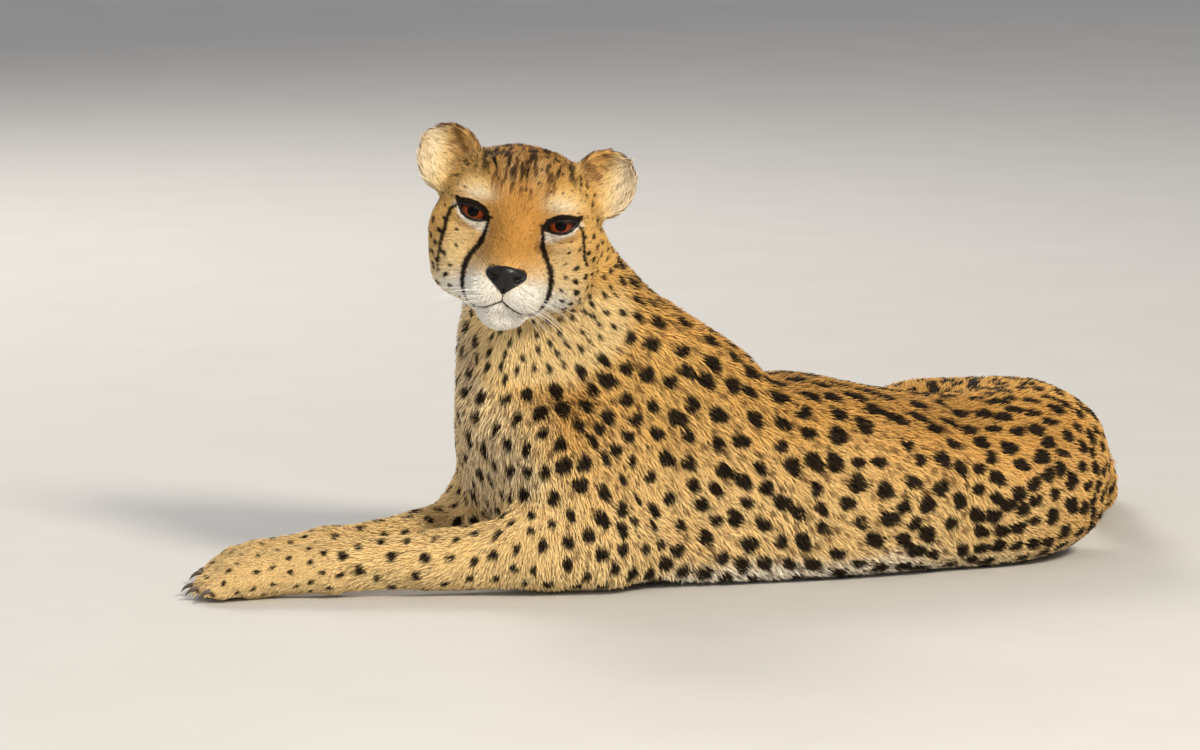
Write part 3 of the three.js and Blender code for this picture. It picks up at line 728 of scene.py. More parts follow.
def faceLayers(head, shares):
    face = shareOf(shares, "face", "head", "nose")
    side, up = np.abs(head[:, 1]), head[:, 2]
    front = face * smoothStep(-34, 4, head[:, 0])
    crown = face * smoothStep(24, 42, up + 0.25 * np.maximum(24 - side, 0)) * smoothStep(64, 46, side)
    streaks = sway(head * mm * np.array([0.3, 1, 0.3]), 10, 61)
    streaks += 0.6 * sway(head * mm * np.array([0.4, 1, 0.4]), 5, 63)
    ticks = sway(head * mm * np.array([0.5, 1, 0.5]), 6, 67)
    brow = face * smoothStep(14, 26, up) * smoothStep(34, 22, side)
    return [
        ("orange", face * smoothStep(40, 12, side) * smoothStep(-46, -22, up) * 0.8),
        ("orange", front * marked(head, "nearMiddle")),
        ("cream", front * marked(head, "pale")),
        ("white", front * marked(head, "overEye")),
        ("brown", front * marked(head, "innerBrow")),
        ("cream", face * smoothStep(-40, -66, up) * 0.9),
        ("white", front * marked(head, "muzzle")),
        *(("white", front * under * 0.9) for under in underEyes(head)),
        ("brown", crown * 0.32),
        ("black", crown * smoothStep(0.14, 0.36, streaks) * 0.9),
        ("brown", brow * smoothStep(0.28, 0.45, ticks) * 0.85),
        ("black", face * mirrored(head, (-26, 72, 8), (14, 9, 9)) * 1.2),  # at the foot of each ear
    ]


def earLayers(points, normals, shares, head):
    ear = shareOf(shares, "ear")
    side, up = np.abs(head[:, 1]), head[:, 2]
    inward = smoothStep(72, 56, side - 0.25 * (up - 45))
    patches = smoothStep(-0.1, 0.45, sway(points, 17, 31) + 0.5 * sway(points, 7, 33))
    edge = smoothStep(0.7, 0.25, normals @ headForward) * smoothStep(-0.45, 0.35, normals @ headUp)
    return [
        ("cream", ear * 0.9),
        ("white", ear * smoothStep(66, 80, side) * 0.35),
        ("orange", ear * inward * 0.75),
        ("brown", ear * np.clip(inward + 0.3, 0, 1) * patches * 0.75),
        ("brown", ear * edge),
    ]


def groundColour(points, normals, shares, head):
    # the coat's colour before its spots and lines: tawny, then one layer after another
    colour = np.tile(coatColours["tawny"], (len(points), 1)).astype(float)
    layers = bodyLayers(points, normals, shares, head) + faceLayers(head, shares)
    for name, share in layers + earLayers(points, normals, shares, head):
        colour = blendTo(colour, name, share)
    shade = 1 + 0.06 * sway(points, 90, 3) + 0.05 * sway(points, 38, 5)
    return np.clip(colour * shade[:, None], 0, 1)


# spots: their spacing and radius on each part, in mm, and how long they are for their width

spotPlan = {
    "face": (9, 2.4, 1.5),
    "nose": (0, 0, 1),
    "head": (9.2, 2.8, 1.9),
    "ear": (0, 0, 1),
    "neck": (14.0, 6.3, 1.3),
    "chest": (16.8, 7.2, 1.25),
    "loin": (17.2, 7.6, 1.25),
    "rump": (13.8, 6.9, 1.2),
    "thigh": (14.0, 6.0, 1.3),
    "upper_arm": (15.5, 6.4, 1.15),
    "forearm": (14, 4.2, 1.2),
    "shank": (15, 4.6, 1.2),
    "paw": (11, 2.4, 1.2),
    "tail": (19.5, 7.0, 1.2),
    "tail_tip": (19, 6.6, 1.3),
}
spotValues = {
    "candidates": 70000,
    "seed": 23,
    "cell": 24,  # mm, of the grid that finds the spots close by
    "throws": ((1.0, 1.0), (0.62, 0.42)),  # shares of the spacing and the radius: full spots, then small ones
    "leastApart": 7,  # mm; parts with a smaller spacing have no spots
    "smallFrom": 14.8,  # mm; small spots lie only where the full ones are further apart
    "size": (0.8, 1.15),
    "drawnOut": (0.85, 1.15),
    "faint": (0.45, 0.9),  # how dark the small spots are
    "far": 20.0,  # mm, well outside any spot
    "plainTail": 0.212,  # metres of the tail's end that have rings instead
}


def surfacePoints(mesh, amount, weight, generator):
    # evenly drawn points of the skin: triangle numbers and the three corner shares
    corners = np.empty(len(mesh.loop_triangles) * 3, dtype=np.int32)
    mesh.loop_triangles.foreach_get("vertices", corners)
    corners = corners.reshape(-1, 3)
    place = positionsOf(mesh)[corners]
    area = np.linalg.norm(np.cross(place[:, 1] - place[:, 0], place[:, 2] - place[:, 0]), axis=1) / 2
    total = np.cumsum(area * weight[corners].mean(axis=1))
    picks = (np.arange(amount) + generator.random(amount)) / amount * total[-1]
    triangle = np.minimum(np.searchsorted(total, picks), len(corners) - 1)
    a, b = generator.random(amount), generator.random(amount)
    over = a + b > 1
    a[over], b[over] = 1 - a[over], 1 - b[over]
    return triangle, corners[triangle], np.stack([1 - a - b, a, b], axis=1)


def between(values, corners, share):
    # a value at each point from its triangle's corners
    return np.einsum("nk,nk...->n...", share, values[corners])


def markable(head, shares, far):
    # where spots may lie
    face = shareOf(shares, "face", "nose", "head")
    front = smoothStep(-10, 8, head[:, 0])
    side = np.abs(head[:, 1])
    bare = face * front * (smoothStep(46, 40, side) * (head[:, 2] < 24) + (head[:, 2] < -36) * (side < 44))
    bare += face * front * (head[:, 2] < -66) * (side < 48)
    bare += shareOf(shares, "ear", "nose")
    bare += shareOf(shares, "tail_tip") * (farthest - far < spotValues["plainTail"])
    return bare < 0.4


def spotsNear(grid, cell):
    for dx in (-1, 0, 1):
        for dy in (-1, 0, 1):
            for dz in (-1, 0, 1):
                yield from grid.get((cell[0] + dx, cell[1] + dy, cell[2] + dz), ())


def planAt(place, around, mixed, head):
    # the spacing, radius and length of a spot at each place
    plan = mixed @ np.array([spotPlan[kind] for kind in kinds])
    outerCheek = 0.5 + 0.95 * smoothStep(52, 80, np.abs(head[:, 1]) - 0.35 * head[:, 2])
    plan[:, 1] *= 1 + (outerCheek - 1) * shareOf(mixed, "face")
    spine = smoothStep(42, 14, turnedFromBack(place * mm, around)) * shareOf(mixed, "chest", "loin", "rump")
    plan[:, 2] *= 1 + 0.6 * spine  # the spots are drawn out along the spine
    hip = smoothStep(0.29, 0.37, place[:, 0] * mm) * shareOf(mixed, "rump")
    plan[:, :2] *= 1 - 0.22 * hip[:, None]
    plan[:, 1] *= 1 - 0.14 * smoothStep(0.2, 0.8, -around[:, 0]) * shareOf(mixed, "chest", "neck")
    return plan


def throwSpots(mesh):
    # for each spot its centre, the way out of the skin and along the coat, radius, length, darkness and phase
    generator = np.random.default_rng(spotValues["seed"])
    weight = 1 / (mixedValue(shares, "length") + 2)
    triangle, corners, share = surfacePoints(mesh, spotValues["candidates"], weight, generator)
    place = between(co, corners, share) / mm
    around = unit(between(normal, corners, share))
    mixed = between(shares, corners, share)
    head = toHead(place * mm)
    plan = planAt(place, around, mixed, head)
    allowed = markable(head, mixed, between(far, corners, share)) & (plan[:, 0] >= spotValues["leastApart"])
    chosen, grid = [], {}
    for tries, (scale, radiusScale) in enumerate(spotValues["throws"]):
        for i in generator.permutation(len(place)):
            if not allowed[i] or (tries and plan[i, 0] < spotValues["smallFrom"]):
                continue
            cell = tuple((place[i] // spotValues["cell"]).astype(int))
            apart = plan[i, 0] * scale * (0.86 + 0.28 * generator.random())
            clear = True
            for other, kept in spotsNear(grid, cell):
                reach = max(apart, kept * scale)
                if abs(other[0] - place[i, 0]) < kept and np.linalg.norm(other - place[i]) < reach:
                    clear = False
                    break
            if not clear:
                continue
            grid.setdefault(cell, []).append((place[i], apart))
            radius = plan[i, 1] * radiusScale * generator.uniform(*spotValues["size"])
            strength = generator.uniform(*spotValues["faint"]) if tries else 1.0
            along = unit(between(lie, corners[i:i + 1], share[i:i + 1]))[0]
            stretch = plan[i, 2] * generator.uniform(*spotValues["drawnOut"])
            phase = generator.uniform(0, 6.28)
            chosen.append((*place[i], *around[i], *along, radius, stretch, strength, phase))
    return np.array(chosen)


skin.data.calc_loop_triangles()
spots = throwSpots(skin.data)
print("spots thrown", len(spots))


def spotField(points, normals):
    # mm outside the nearest spot's edge, below 0 within it, and how dark that spot is
    place = points / mm
    order = np.argsort(place[:, 0])
    sortedX = place[order, 0]
    nearest = np.full(len(place), spotValues["far"])
    dark = np.ones(len(place))
    for spot in spots:
        centre, around, along = spot[0:3], spot[3:6], spot[6:9]
        radius, stretch, strength, phase = spot[9:13]
        reach = radius * 1.6 + 8
        first, last = np.searchsorted(sortedX, [centre[0] - reach, centre[0] + reach])
        some = order[first:last]
        away = place[some] - centre
        close = np.abs(away[:, 1]) < reach
        some, away = some[close], away[close]
        x = away @ along / math.sqrt(stretch)
        y = away @ np.cross(around, along) * math.sqrt(stretch)
        height = away @ around
        angle = np.arctan2(y, x)
        edge = radius * (1 + 0.11 * np.cos(2 * angle + phase) + 0.08 * np.cos(3 * angle + 2 * phase))
        outside = np.hypot(x, y) - edge
        outside[(np.abs(height) > reach * 0.8) | (normals[some] @ around < 0.15)] = spotValues["far"]
        better = outside < nearest[some]
        nearest[some[better]] = outside[better]
        dark[some[better]] = strength
    return nearest, dark


# black lines of the face, laid on the surface: mm left and up, then the half width

faceLines = {
    "tear": [(21, -5, 1.7), (22.5, -11, 2.3), (23.5, -18, 2.4), (27, -27, 2.6), (33, -37, 3.0),
             (35, -46, 3.2), (35, -54, 3.0), (34, -61, 2.8), (32, -66, 2.5), (29, -71, 2.2), (25, -75, 1.5)],
    "outerLeft": [(48, 4, 1.2), (54, -3, 1.7), (56.5, -13, 1.6), (58.6, -23, 1.5), (62, -30, 1.4)],
    "outerRight": [(48, 4, 1.2), (54.5, -2, 2.0), (56, -14, 2.2), (57.5, -28, 2.1), (57.4, -41, 1.9),
                   (55.6, -54, 1.5)],
    "furrow": [(0, -57, 0.6), (0, -64.5, 0.9)],
    "crown": [(3, 27, 0.3), (2, 38, 1.0), (3.5, 44, 0.6), (4, 50, 1.5), (7, 64, 2.0)],
    "crownLeft": [(23, 35, 0.3), (27, 44, 1.1), (33, 55, 0.8)],
    "crownRight": [(-22, 36, 0.6), (-27, 44, 2.2), (-34, 46, 1.0)],
}


def skinTree(mesh):
    corners = [vertex.co[:] for vertex in mesh.vertices]
    return bvhtree.BVHTree.FromPolygons(corners, [polygon.vertices[:] for polygon in mesh.polygons])


surface = skinTree(skin.data)


def drape(left, up):
    # the point of the face seen from the front, and the direction out of it
    start = Vector(fromHead(np.array([[150.0, left, up]]))[0])
    place, outward, face, reach = surface.ray_cast(start, Vector(-headForward), 0.3)
    return place, outward


def lineSamples():
    samples = []
    lines = [(1, "tear"), (-1, "tear"), (-1, "outerRight")]
    lines += [(1, name) for name in ("outerLeft", "furrow", "crown", "crownLeft", "crownRight")]
    for side, line in lines:
        points = faceLines[line]
        for (l0, u0, w0), (l1, u1, w1) in zip(points[:-1], points[1:]):
            steps = max(2, int(math.hypot(l1 - l0, u1 - u0) / 1.0))
            for step in range(steps):
                t = step / steps
                place, outward = drape(side * (l0 + (l1 - l0) * t), u0 + (u1 - u0) * t)
                if place is not None:
                    samples.append((*place, (w0 + (w1 - w0) * t) * mm))
    for left, up in mouthPoints():
        place, outward = drape(left, up)
        if place is not None and left > mouthValues["rightEnd"]:
            samples.append((*place, (0.8 + 0.8 * smoothStep(12, 24, abs(left))) * mm))
    return np.array(samples)


lines = lineSamples()


def inkField(points, head):
    # mm outside the black lines and the lids' dark rims, below 0 within; above each eye the rim is partly dark
    # lid skin and partly painted shade under the upper lid
    field = np.full(len(points), spotValues["far"])
    front = np.nonzero((head[:, 0] > -60) & (np.abs(head[:, 1]) < 75) & (np.abs(head[:, 2]) < 90))[0]
    for begin in range(0, len(front), 4000):
        some = front[begin:begin + 4000]
        away = np.linalg.norm(points[some, None, :] - lines[None, :, :3], axis=2) - lines[None, :, 3]
        field[some] = away.min(axis=1) / mm + 0.5 * sway(points[some], 4, 71)
    for side, place in eyeSides():
        near = np.nonzero((head[:, 0] > -12) & (np.hypot(head[:, 1] - place, head[:, 2]) < 24))[0]
        outside = inOpening(head[near], side)
        # the rim widens above the eye: dark lid skin, widened with painted shade under the upper lid
        rim = 1.7 + 3.2 * smoothStep(-1, 5, head[near, 2] - 0.3 * side * (head[near, 1] - place))
        field[near] = np.minimum(field[near], outside - rim)
    return field


def earBack(shares, normals):
    return shareOf(shares, "ear") * smoothStep(0.05, -0.35, normals @ headForward)


ringValues = {
    "first": 52,  # mm from the tail's end to the middle of the last ring
    "apart": 44,
    "from": (36, 42),  # mm from the end where the rings begin
    "to": (203, 210),
}


def tailRings(far, shares):
    # 1 in a black ring of the tail
    back = (farthest - far) / mm
    wave = np.cos((back - ringValues["first"]) / ringValues["apart"] * 2 * math.pi)
    ringed = smoothStep(*ringValues["from"], back) * smoothStep(*ringValues["to"][::-1], back)
    return smoothStep(-0.1, 0.25, wave) * ringed * shareOf(shares, "tail", "tail_tip")


def coatColour(points, normals, shares, far):
    # the colour of the coat's hair anywhere on the surface
    head = toHead(points)
    colour = groundColour(points, normals, shares, head)
    outside, dark = spotField(points, normals)
    inside = smoothStep(0.9, -0.9, outside)
    colour = blendTo(colour, "brown", inside * (dark < 0.99) * dark)
    colour = blendTo(colour, "black", inside * (dark > 0.99))
    colour = blendTo(colour, "black", tailRings(far, shares))
    colour = blendTo(colour, "black", earBack(shares, normals) * 0.9)
    return blendTo(colour, "black", smoothStep(0.45, -0.45, inkField(points, head)))


def giveColour(mesh, colour, name):
    layer = mesh.attributes.new(name, "FLOAT_COLOR", "POINT")
    filled = np.ones((len(colour), 4), dtype=np.float32)
    filled[:, :3] = colour
    layer.data.foreach_set("color", filled.ravel())


def giveValue(mesh, values, name):
    layer = mesh.attributes.new(name, "FLOAT", "POINT")
    layer.data.foreach_set("value", np.ascontiguousarray(values, dtype=np.float32))


skinHead = toHead(co)
giveColour(skin.data, groundColour(co, normal, shares, skinHead), "ground")
spotOutside, spotDark = spotField(co, normal)
giveValue(skin.data, spotOutside, "spotOutside")
giveValue(skin.data, spotDark, "spotDark")
giveValue(skin.data, inkField(co, skinHead), "ink")
giveValue(skin.data, np.clip(earBack(shares, normal) + tailRings(far, shares), 0, 1), "dark")
print("skin marked")


# materials

def newMaterial(name, roughness, **sockets):
    material = bpy.data.materials.new(name)
    material.use_nodes = True
    shader = material.node_tree.nodes["Principled BSDF"]
    shader.inputs["Roughness"].default_value = roughness
    for socket, value in sockets.items():
        shader.inputs[socket].default_value = value
    return material, material.node_tree, shader


def node(tree, kind, x, y, **settings):
    made = tree.nodes.new(kind)
    made.location = (x, y)
    for key, value in settings.items():
        setattr(made, key, value)
    return made


def mixColours(tree, x, y, factor, first, second):
    mix = node(tree, "ShaderNodeMix", x, y, data_type="RGBA")
    if factor is not None:
        tree.links.new(factor, mix.inputs["Factor"])
    for socket, value in ((mix.inputs[6], first), (mix.inputs[7], second)):
        if isinstance(value, tuple):
            socket.default_value = (*value, 1)
        else:
            tree.links.new(value, socket)
    return mix.outputs[2]


def mapRange(tree, x, y, value, low, high, toLow=0.0, toHigh=1.0):
    made = node(tree, "ShaderNodeMapRange", x, y, interpolation_type="SMOOTHSTEP")
    made.inputs["From Min"].default_value = low
    made.inputs["From Max"].default_value = high
    made.inputs["To Min"].default_value = toLow
    made.inputs["To Max"].default_value = toHigh
    tree.links.new(value, made.inputs["Value"])
    return made.outputs["Result"]


def noise(tree, x, y, scale, detail=4.0, roughness=0.55, place=None):
    made = node(tree, "ShaderNodeTexNoise", x, y)
    made.inputs["Scale"].default_value = scale
    made.inputs["Detail"].default_value = detail
    made.inputs["Roughness"].default_value = roughness
    if place is None:
        place = node(tree, "ShaderNodeTexCoord", x - 200, y).outputs["Object"]
    tree.links.new(place, made.inputs["Vector"])
    return made.outputs["Fac"]


def attribute(tree, x, y, name, output):
    return node(tree, "ShaderNodeAttribute", x, y, attribute_name=name).outputs[output]


def addBump(tree, shader, height, strength, distance):
    bump = node(tree, "ShaderNodeBump", -300, -300)
    bump.inputs["Strength"].default_value = strength
    bump.inputs["Distance"].default_value = distance
    tree.links.new(height, bump.inputs["Height"])
    tree.links.new(bump.outputs["Normal"], shader.inputs["Normal"])


def maths(tree, x, y, operation, first, second):
    made = node(tree, "ShaderNodeMath", x, y, operation=operation)
    for socket, value in zip(made.inputs, (first, second)):
        if isinstance(value, (int, float)):
            socket.default_value = value
        else:
            tree.links.new(value, socket)
    return made.outputs[0]


finishes = {
    "skinRoughness": 0.85,
    "coatRoughness": 0.68,
    "underfur": (0.30, 0.15, 0.05),
    "lockShade": (0.12, 0.06, 0.02),
    "gloss": 0.12,
}


def skinMaterial():
    settings = {"Specular IOR Level": 0.15}
    material, tree, shader = newMaterial("skinFur", finishes["skinRoughness"], **settings)
    black = coatColours["black"]
    grain = noise(tree, -1200, 0, 620, 3)
    thin = mapRange(tree, -1200, 200, grain, 0.35, 0.7, 0.0, 0.45)
    ground = attribute(tree, -1400, 300, "ground", "Color")
    colour = mixColours(tree, -1000, 300, thin, ground, finishes["underfur"])
    outside = attribute(tree, -1400, -500, "spotOutside", "Fac")
    ragged = maths(tree, -1000, -500, "ADD", outside, mapRange(tree, -1200, -500, grain, 0.2, 0.8, -1.6, 1.6))
    inside = mapRange(tree, -800, -500, ragged, 0.8, -0.8)
    inside = maths(tree, -600, -500, "MULTIPLY", inside, attribute(tree, -1400, -700, "spotDark", "Fac"))
    colour = mixColours(tree, -400, 300, inside, colour, black)
    colour = mixColours(tree, -250, 300, attribute(tree, -1400, -900, "dark", "Fac"), colour, black)
    ink = mapRange(tree, -300, -800, attribute(tree, -1400, -1100, "ink", "Fac"), 0.4, -0.4)
    colour = mixColours(tree, -100, 300, ink, colour, black)
    tree.links.new(colour, shader.inputs["Base Color"])
    addBump(tree, shader, noise(tree, -1200, -250, 1500, 2), 0.5, 0.0008)
    return material


def coatMaterial():
    settings = {"Specular IOR Level": finishes["gloss"]}
    material, tree, shader = newMaterial("coatHair", finishes["coatRoughness"], **settings)
    colour = attribute(tree, -900, 300, "coat", "Color")
    shaded = mapRange(tree, -700, 0, noise(tree, -900, 0, 900, 2), 0.3, 0.75, 0.0, 0.22)
    shade = mixColours(tree, -500, 300, shaded, colour, finishes["lockShade"])
    tree.links.new(shade, shader.inputs["Base Color"])
    return material


coatFinish = coatMaterial()
skin.data.materials.clear()
skin.data.materials.append(skinMaterial())


# the nose leather's outline, in mm left and up, also where no hair grows

noseValues = {
    "top": -36.5,
    "tall": 22.5,
    "half": 17.2,
    # of the half width, from the top edge to the foot
    "widths": [0.80, 0.98, 1.0, 0.90, 0.68, 0.44, 0.22, 0.08],
    "proud": 1.5,
    "nostril": 3.2,
    "nostrilPlace": (9.6, -9.6),  # mm to the side and up from the top edge
    "nostrilSize": (4.4, 2.3),
    "wall": 3.0,  # how far its edge goes back into the skin
    "hollow": 5.0,  # how far the skin steps back under it
    "cells": (48, 36),
}


def noseHalf(down):
    # half the width at a share of the way down
    widths = noseValues["widths"]
    return noseValues["half"] * np.interp(down, np.linspace(0, 1, len(widths)), widths)


def inNose(head):
    down = (noseValues["top"] - head[:, 2]) / noseValues["tall"]
    return (head[:, 0] > 40) & (down > 0.02) & (down < 1) & (np.abs(head[:, 1]) < noseHalf(down) - 0.8)


# the coat: locks of hair lying over the skin

coatValues = {
    "amount": 246000,
    "ridge": 0.32,  # how high the middle of a lock stands, for its width
    "stray": 0.20,  # radians that a lock turns from the lie
    "patch": 0.003,  # of the unwrapped skin under each lock
    "floor": 0.3,  # no hair is pressed lower than this, in mm
    "tall": (0.35, 1.25),  # shares of the part's depth, length and width
    "long": (0.7, 1.25),
    "wide": (0.75, 1.2),
    "roll": 0.35,  # radians that a lock rolls about its own line
    "slip": 0.8,  # mm that locks cross the edge of a spot
    # along the lock, its width, its height and its brightness at the root, the middle and the tip
    "rings": ((0.0, 0.8, -0.12, 0.80), (0.52, 1.0, 0.77, 1.0), (1.0, 0.0, 1.0, 1.10)),
    "most": 195000,  # triangles in a piece
}
thickness = {  # locks for each square centimetre, before they are scaled to the amount
    "face": 125, "nose": 90, "head": 70, "ear": 80, "neck": 30, "chest": 24, "loin": 23, "rump": 24,
    "thigh": 25, "upper_arm": 27, "forearm": 34, "shank": 32, "paw": 60, "tail": 31, "tail_tip": 34,
}


def growRoots():
    generator = np.random.default_rng(31)
    weight = shares @ np.array([float(thickness[kind]) for kind in kinds])
    head = skinHead
    bald = np.zeros(len(co), dtype=bool)
    for side, place in eyeSides():
        near = (head[:, 0] > -12) & (np.hypot(head[:, 1] - place, head[:, 2]) < 22)
        bald |= near & (inOpening(head, side) < 1.0)
    weight[bald | inNose(head)] = 0
    return surfacePoints(skin.data, coatValues["amount"], weight, generator)


triangle, corners, share = growRoots()


def locks():
    # every lock: 3 corners at the root, 3 at the middle and its tip
    generator = np.random.default_rng(47)
    amount = len(triangle)
    root = between(co, corners, share)
    around = unit(between(normal, corners, share))
    along = tangent(between(lie, corners, share), around)
    mixed = between(shares, corners, share)
    way = between(far, corners, share)
    head = toHead(root)
    across = np.cross(around, along)
    turn = generator.normal(0, coatValues["stray"], amount)
    turn += 0.22 * sway(root, 26, 9) + 0.12 * sway(root, 11, 13)
    along, across = (along * np.cos(turn)[:, None] + across * np.sin(turn)[:, None],
                     across * np.cos(turn)[:, None] - along * np.sin(turn)[:, None])
    tall = mixedValue(mixed, "depth") * generator.uniform(*coatValues["tall"], amount)
    long = mixedValue(mixed, "length") * generator.uniform(*coatValues["long"], amount)
    wide = mixedValue(mixed, "width") * generator.uniform(*coatValues["wide"], amount)
    front = smoothStep(-34, 4, head[:, 0]) * shareOf(mixed, "face", "nose")
    long *= 1 - 0.35 * front * (head[:, 2] > -30)
    lips = distanceToMouth(head)
    overLips = (head[:, 0] > 20) & (head[:, 2] > mouthHeight(head[:, 1])) & (lips < 12)
    long = np.where(overLips, np.minimum(long, np.maximum(lips * 0.9, 0.9)), long)
    tall = np.where(lips < 5, tall * (0.3 + 0.14 * lips), tall)
    rollOver = generator.normal(0, coatValues["roll"], amount)
    side = across * np.cos(rollOver)[:, None] + around * np.sin(rollOver)[:, None]
    ridge = around * np.cos(rollOver)[:, None] - across * np.sin(rollOver)[:, None]
    points = np.empty((amount, 7, 3))
    colour = np.empty((amount, 7, 3))
    ticked = 0.06 + 0.36 * shareOf(mixed, "head", "face") * smoothStep(18, 58, head[:, 2])
    ticked += 0.22 * shareOf(mixed, "neck") * smoothStep(0.1, 0.8, around[:, 2])
    ticked += 0.10 * shareOf(mixed, "ear")
    dark = generator.random(amount) < ticked
    shade = generator.normal(1.0, 0.10, amount) * np.where(dark, generator.uniform(0.25, 0.6, amount), 1)
    warm = generator.normal(0.0, 0.03, amount)
    slip = generator.normal(0, coatValues["slip"], amount) * mm * (1 - 0.75 * shareOf(mixed, "face"))
    for ring, (t, spread, lift, bright) in enumerate(coatValues["rings"]):
        middle = root + along * (long * t * mm)[:, None] + around * (tall * lift * mm)[:, None]
        place = root + along * ((long * t * 0.85) * mm + slip)[:, None]
        tint = coatColour(place, around, mixed, way + long * t * mm)
        tint = tint * (shade * bright)[:, None] * (1 + warm[:, None] * np.array([1, 0, -1.5]))
        if ring < 2:
            half = side * (wide * spread / 2 * mm)[:, None]
            points[:, ring * 3] = middle - half
            points[:, ring * 3 + 1] = middle + ridge * (wide * coatValues["ridge"] * spread * mm)[:, None]
            points[:, ring * 3 + 2] = middle + half
            colour[:, ring * 3:ring * 3 + 3] = tint[:, None, :]
        else:
            points[:, 6] = middle
            colour[:, 6] = tint
    points[..., 2] = np.maximum(points[..., 2], coatValues["floor"] * mm)
    return points, np.clip(colour, 0, 1), mixed


lockFaces = np.array([(0, 1, 4), (0, 4, 3), (1, 2, 5), (1, 5, 4), (3, 4, 6), (4, 5, 6)])
lockPatch = np.array([(-0.5, 0), (0, 0), (0.5, 0), (-0.5, 0.5), (0, 0.5), (0.5, 0.5), (0, 1)])


def meshFromArrays(name, points, faces):
    mesh = bpy.data.meshes.new(name)
    mesh.vertices.add(len(points))
    mesh.vertices.foreach_set("co", np.ascontiguousarray(points, dtype=np.float32).ravel())
    mesh.loops.add(faces.size)
    mesh.loops.foreach_set("vertex_index", np.ascontiguousarray(faces, dtype=np.int32).ravel())
    mesh.polygons.add(len(faces))
    mesh.polygons.foreach_set("loop_start", np.arange(0, faces.size, faces.shape[1], dtype=np.int32))
    mesh.update(calc_edges=True)
    return mesh


def linked(name, mesh, material):
    piece = bpy.data.objects.new(name, mesh)
    bpy.context.scene.collection.objects.link(piece)
    mesh.materials.append(material)
    return piece


def unwrapPlaces():
    # where each root lies on the skin's own unwrap
    loops = np.empty(len(skin.data.loop_triangles) * 3, dtype=np.int32)
    skin.data.loop_triangles.foreach_get("loops", loops)
    uv = np.empty(len(skin.data.loops) * 2, dtype=np.float32)
    skin.data.uv_layers["OFBake"].data.foreach_get("uv", uv)
    return np.einsum("nk,nkc->nc", share, uv.reshape(-1, 2)[loops.reshape(-1, 3)[triangle]])


coatGroups = {
    "coatFace": (("face", "nose"), "coat"),
    "coatHead": (("head",), "coat"),
    "coatEars": (("ear",), "ear_coat"),
    "coatNeck": (("neck",), "coat"),
    "coatChest": (("chest",), "coat"),
    "coatLoin": (("loin",), "coat"),
    "coatRump": (("rump",), "coat"),
    "coatThighs": (("thigh", "shank"), "coat"),
    "coatArms": (("upper_arm", "forearm"), "coat"),
    "coatPaws": (("paw",), "paw_coat"),
    "coatTail": (("tail", "tail_tip"), "tail_coat"),
}


def growCoat():
    points, colour, mixed = locks()
    places = unwrapPlaces()
    main = np.array(kinds)[np.argmax(mixed, axis=1)]
    pieces = []
    for name, (group, slot) in coatGroups.items():
        members = np.nonzero(np.isin(main, group))[0]
        count = max(1, math.ceil(len(members) * len(lockFaces) / coatValues["most"]))
        for number, some in enumerate(np.array_split(members, count)):
            faces = (lockFaces[None] + np.arange(len(some))[:, None, None] * 7).reshape(-1, 3)
            label = name if count == 1 else name + str(number + 1)
            piece = linked(label, meshFromArrays(label, points[some].reshape(-1, 3), faces), coatFinish)
            giveColour(piece.data, colour[some].reshape(-1, 3), "coat")
            uv = places[some][:, None, :] + lockPatch[None] * coatValues["patch"]
            layer = piece.data.uv_layers.new(name="OFBake")
            layer.data.foreach_set("uv", uv.reshape(-1, 2)[faces.ravel()].astype(np.float32).ravel())
            shadeSmooth(piece.data)
            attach(piece, "root")
            pieces.append(piece)
    return pieces


coat = growCoat()
print("coat grown", len(coat), "pieces", sum(len(piece.data.polygons) for piece in coat), "faces")

shadeSmooth(skin.data)
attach(skin, "root")
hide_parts(*fleshNodes)


# eyes: dark amber irises behind a wet cornea

eyeLooks = {
    "iris": 9.6,
    "pupil": 4.8,
    "gaze": (1.0, 0.0, 0.03),  # in the head's directions
    "bulge": (1.1, 8.5),  # mm that the cornea stands out, and its radius
    "amber": (0.16, 0.027, 0.007),
    "amberEdge": (0.07, 0.012, 0.005),
    "streak": (0.26, 0.057, 0.012),
    "ring": (0.012, 0.006, 0.004),
    "black": (0.0006, 0.0005, 0.0005),
    "shadow": (0.008, 0.004, 0.003),  # under the upper lid
    "wet": 0.16,
}


def eyeMaterial():
    settings = {"Coat Weight": eyeLooks["wet"], "Coat Roughness": 0.02, "Specular IOR Level": 0.03}
    material, tree, shader = newMaterial("eyeAmber", 0.3, **settings)
    iris, wide = eyeLooks["iris"], eyeLooks["pupil"]
    place = attribute(tree, -1500, 0, "iris", "Vector")
    split = node(tree, "ShaderNodeSeparateXYZ", -1300, 0)
    tree.links.new(place, split.inputs[0])
    reach = split.outputs["X"]
    out = mapRange(tree, -1000, 200, reach, wide, iris)
    amber = mixColours(tree, -800, 200, out, eyeLooks["amber"], eyeLooks["amberEdge"])
    streaks = mapRange(tree, -800, -300, noise(tree, -1100, -300, 9.0, 4, 0.6, place), 0.42, 0.62, 0.0, 0.45)
    amber = mixColours(tree, -600, 200, streaks, amber, eyeLooks["streak"])
    dark = mapRange(tree, -800, -500, reach, iris - 1.6, iris + 0.1)
    amber = mixColours(tree, -400, 200, dark, amber, eyeLooks["ring"])
    pupil = mapRange(tree, -800, -700, reach, wide + 0.35, wide - 0.2)
    amber = mixColours(tree, -200, 200, pupil, amber, eyeLooks["black"])
    shaded = mapRange(tree, -800, -900, split.outputs["Z"], -0.2, 1.8, 0.0, 0.92)
    shaded = maths(tree, -600, -900, "MULTIPLY", shaded, mapRange(tree, -800, -1100, reach, 1.5, 6.0))
    amber = mixColours(tree, 0, 200, shaded, amber, eyeLooks["shadow"])
    tree.links.new(amber, shader.inputs["Base Color"])
    return material


eyeFinish = eyeMaterial()


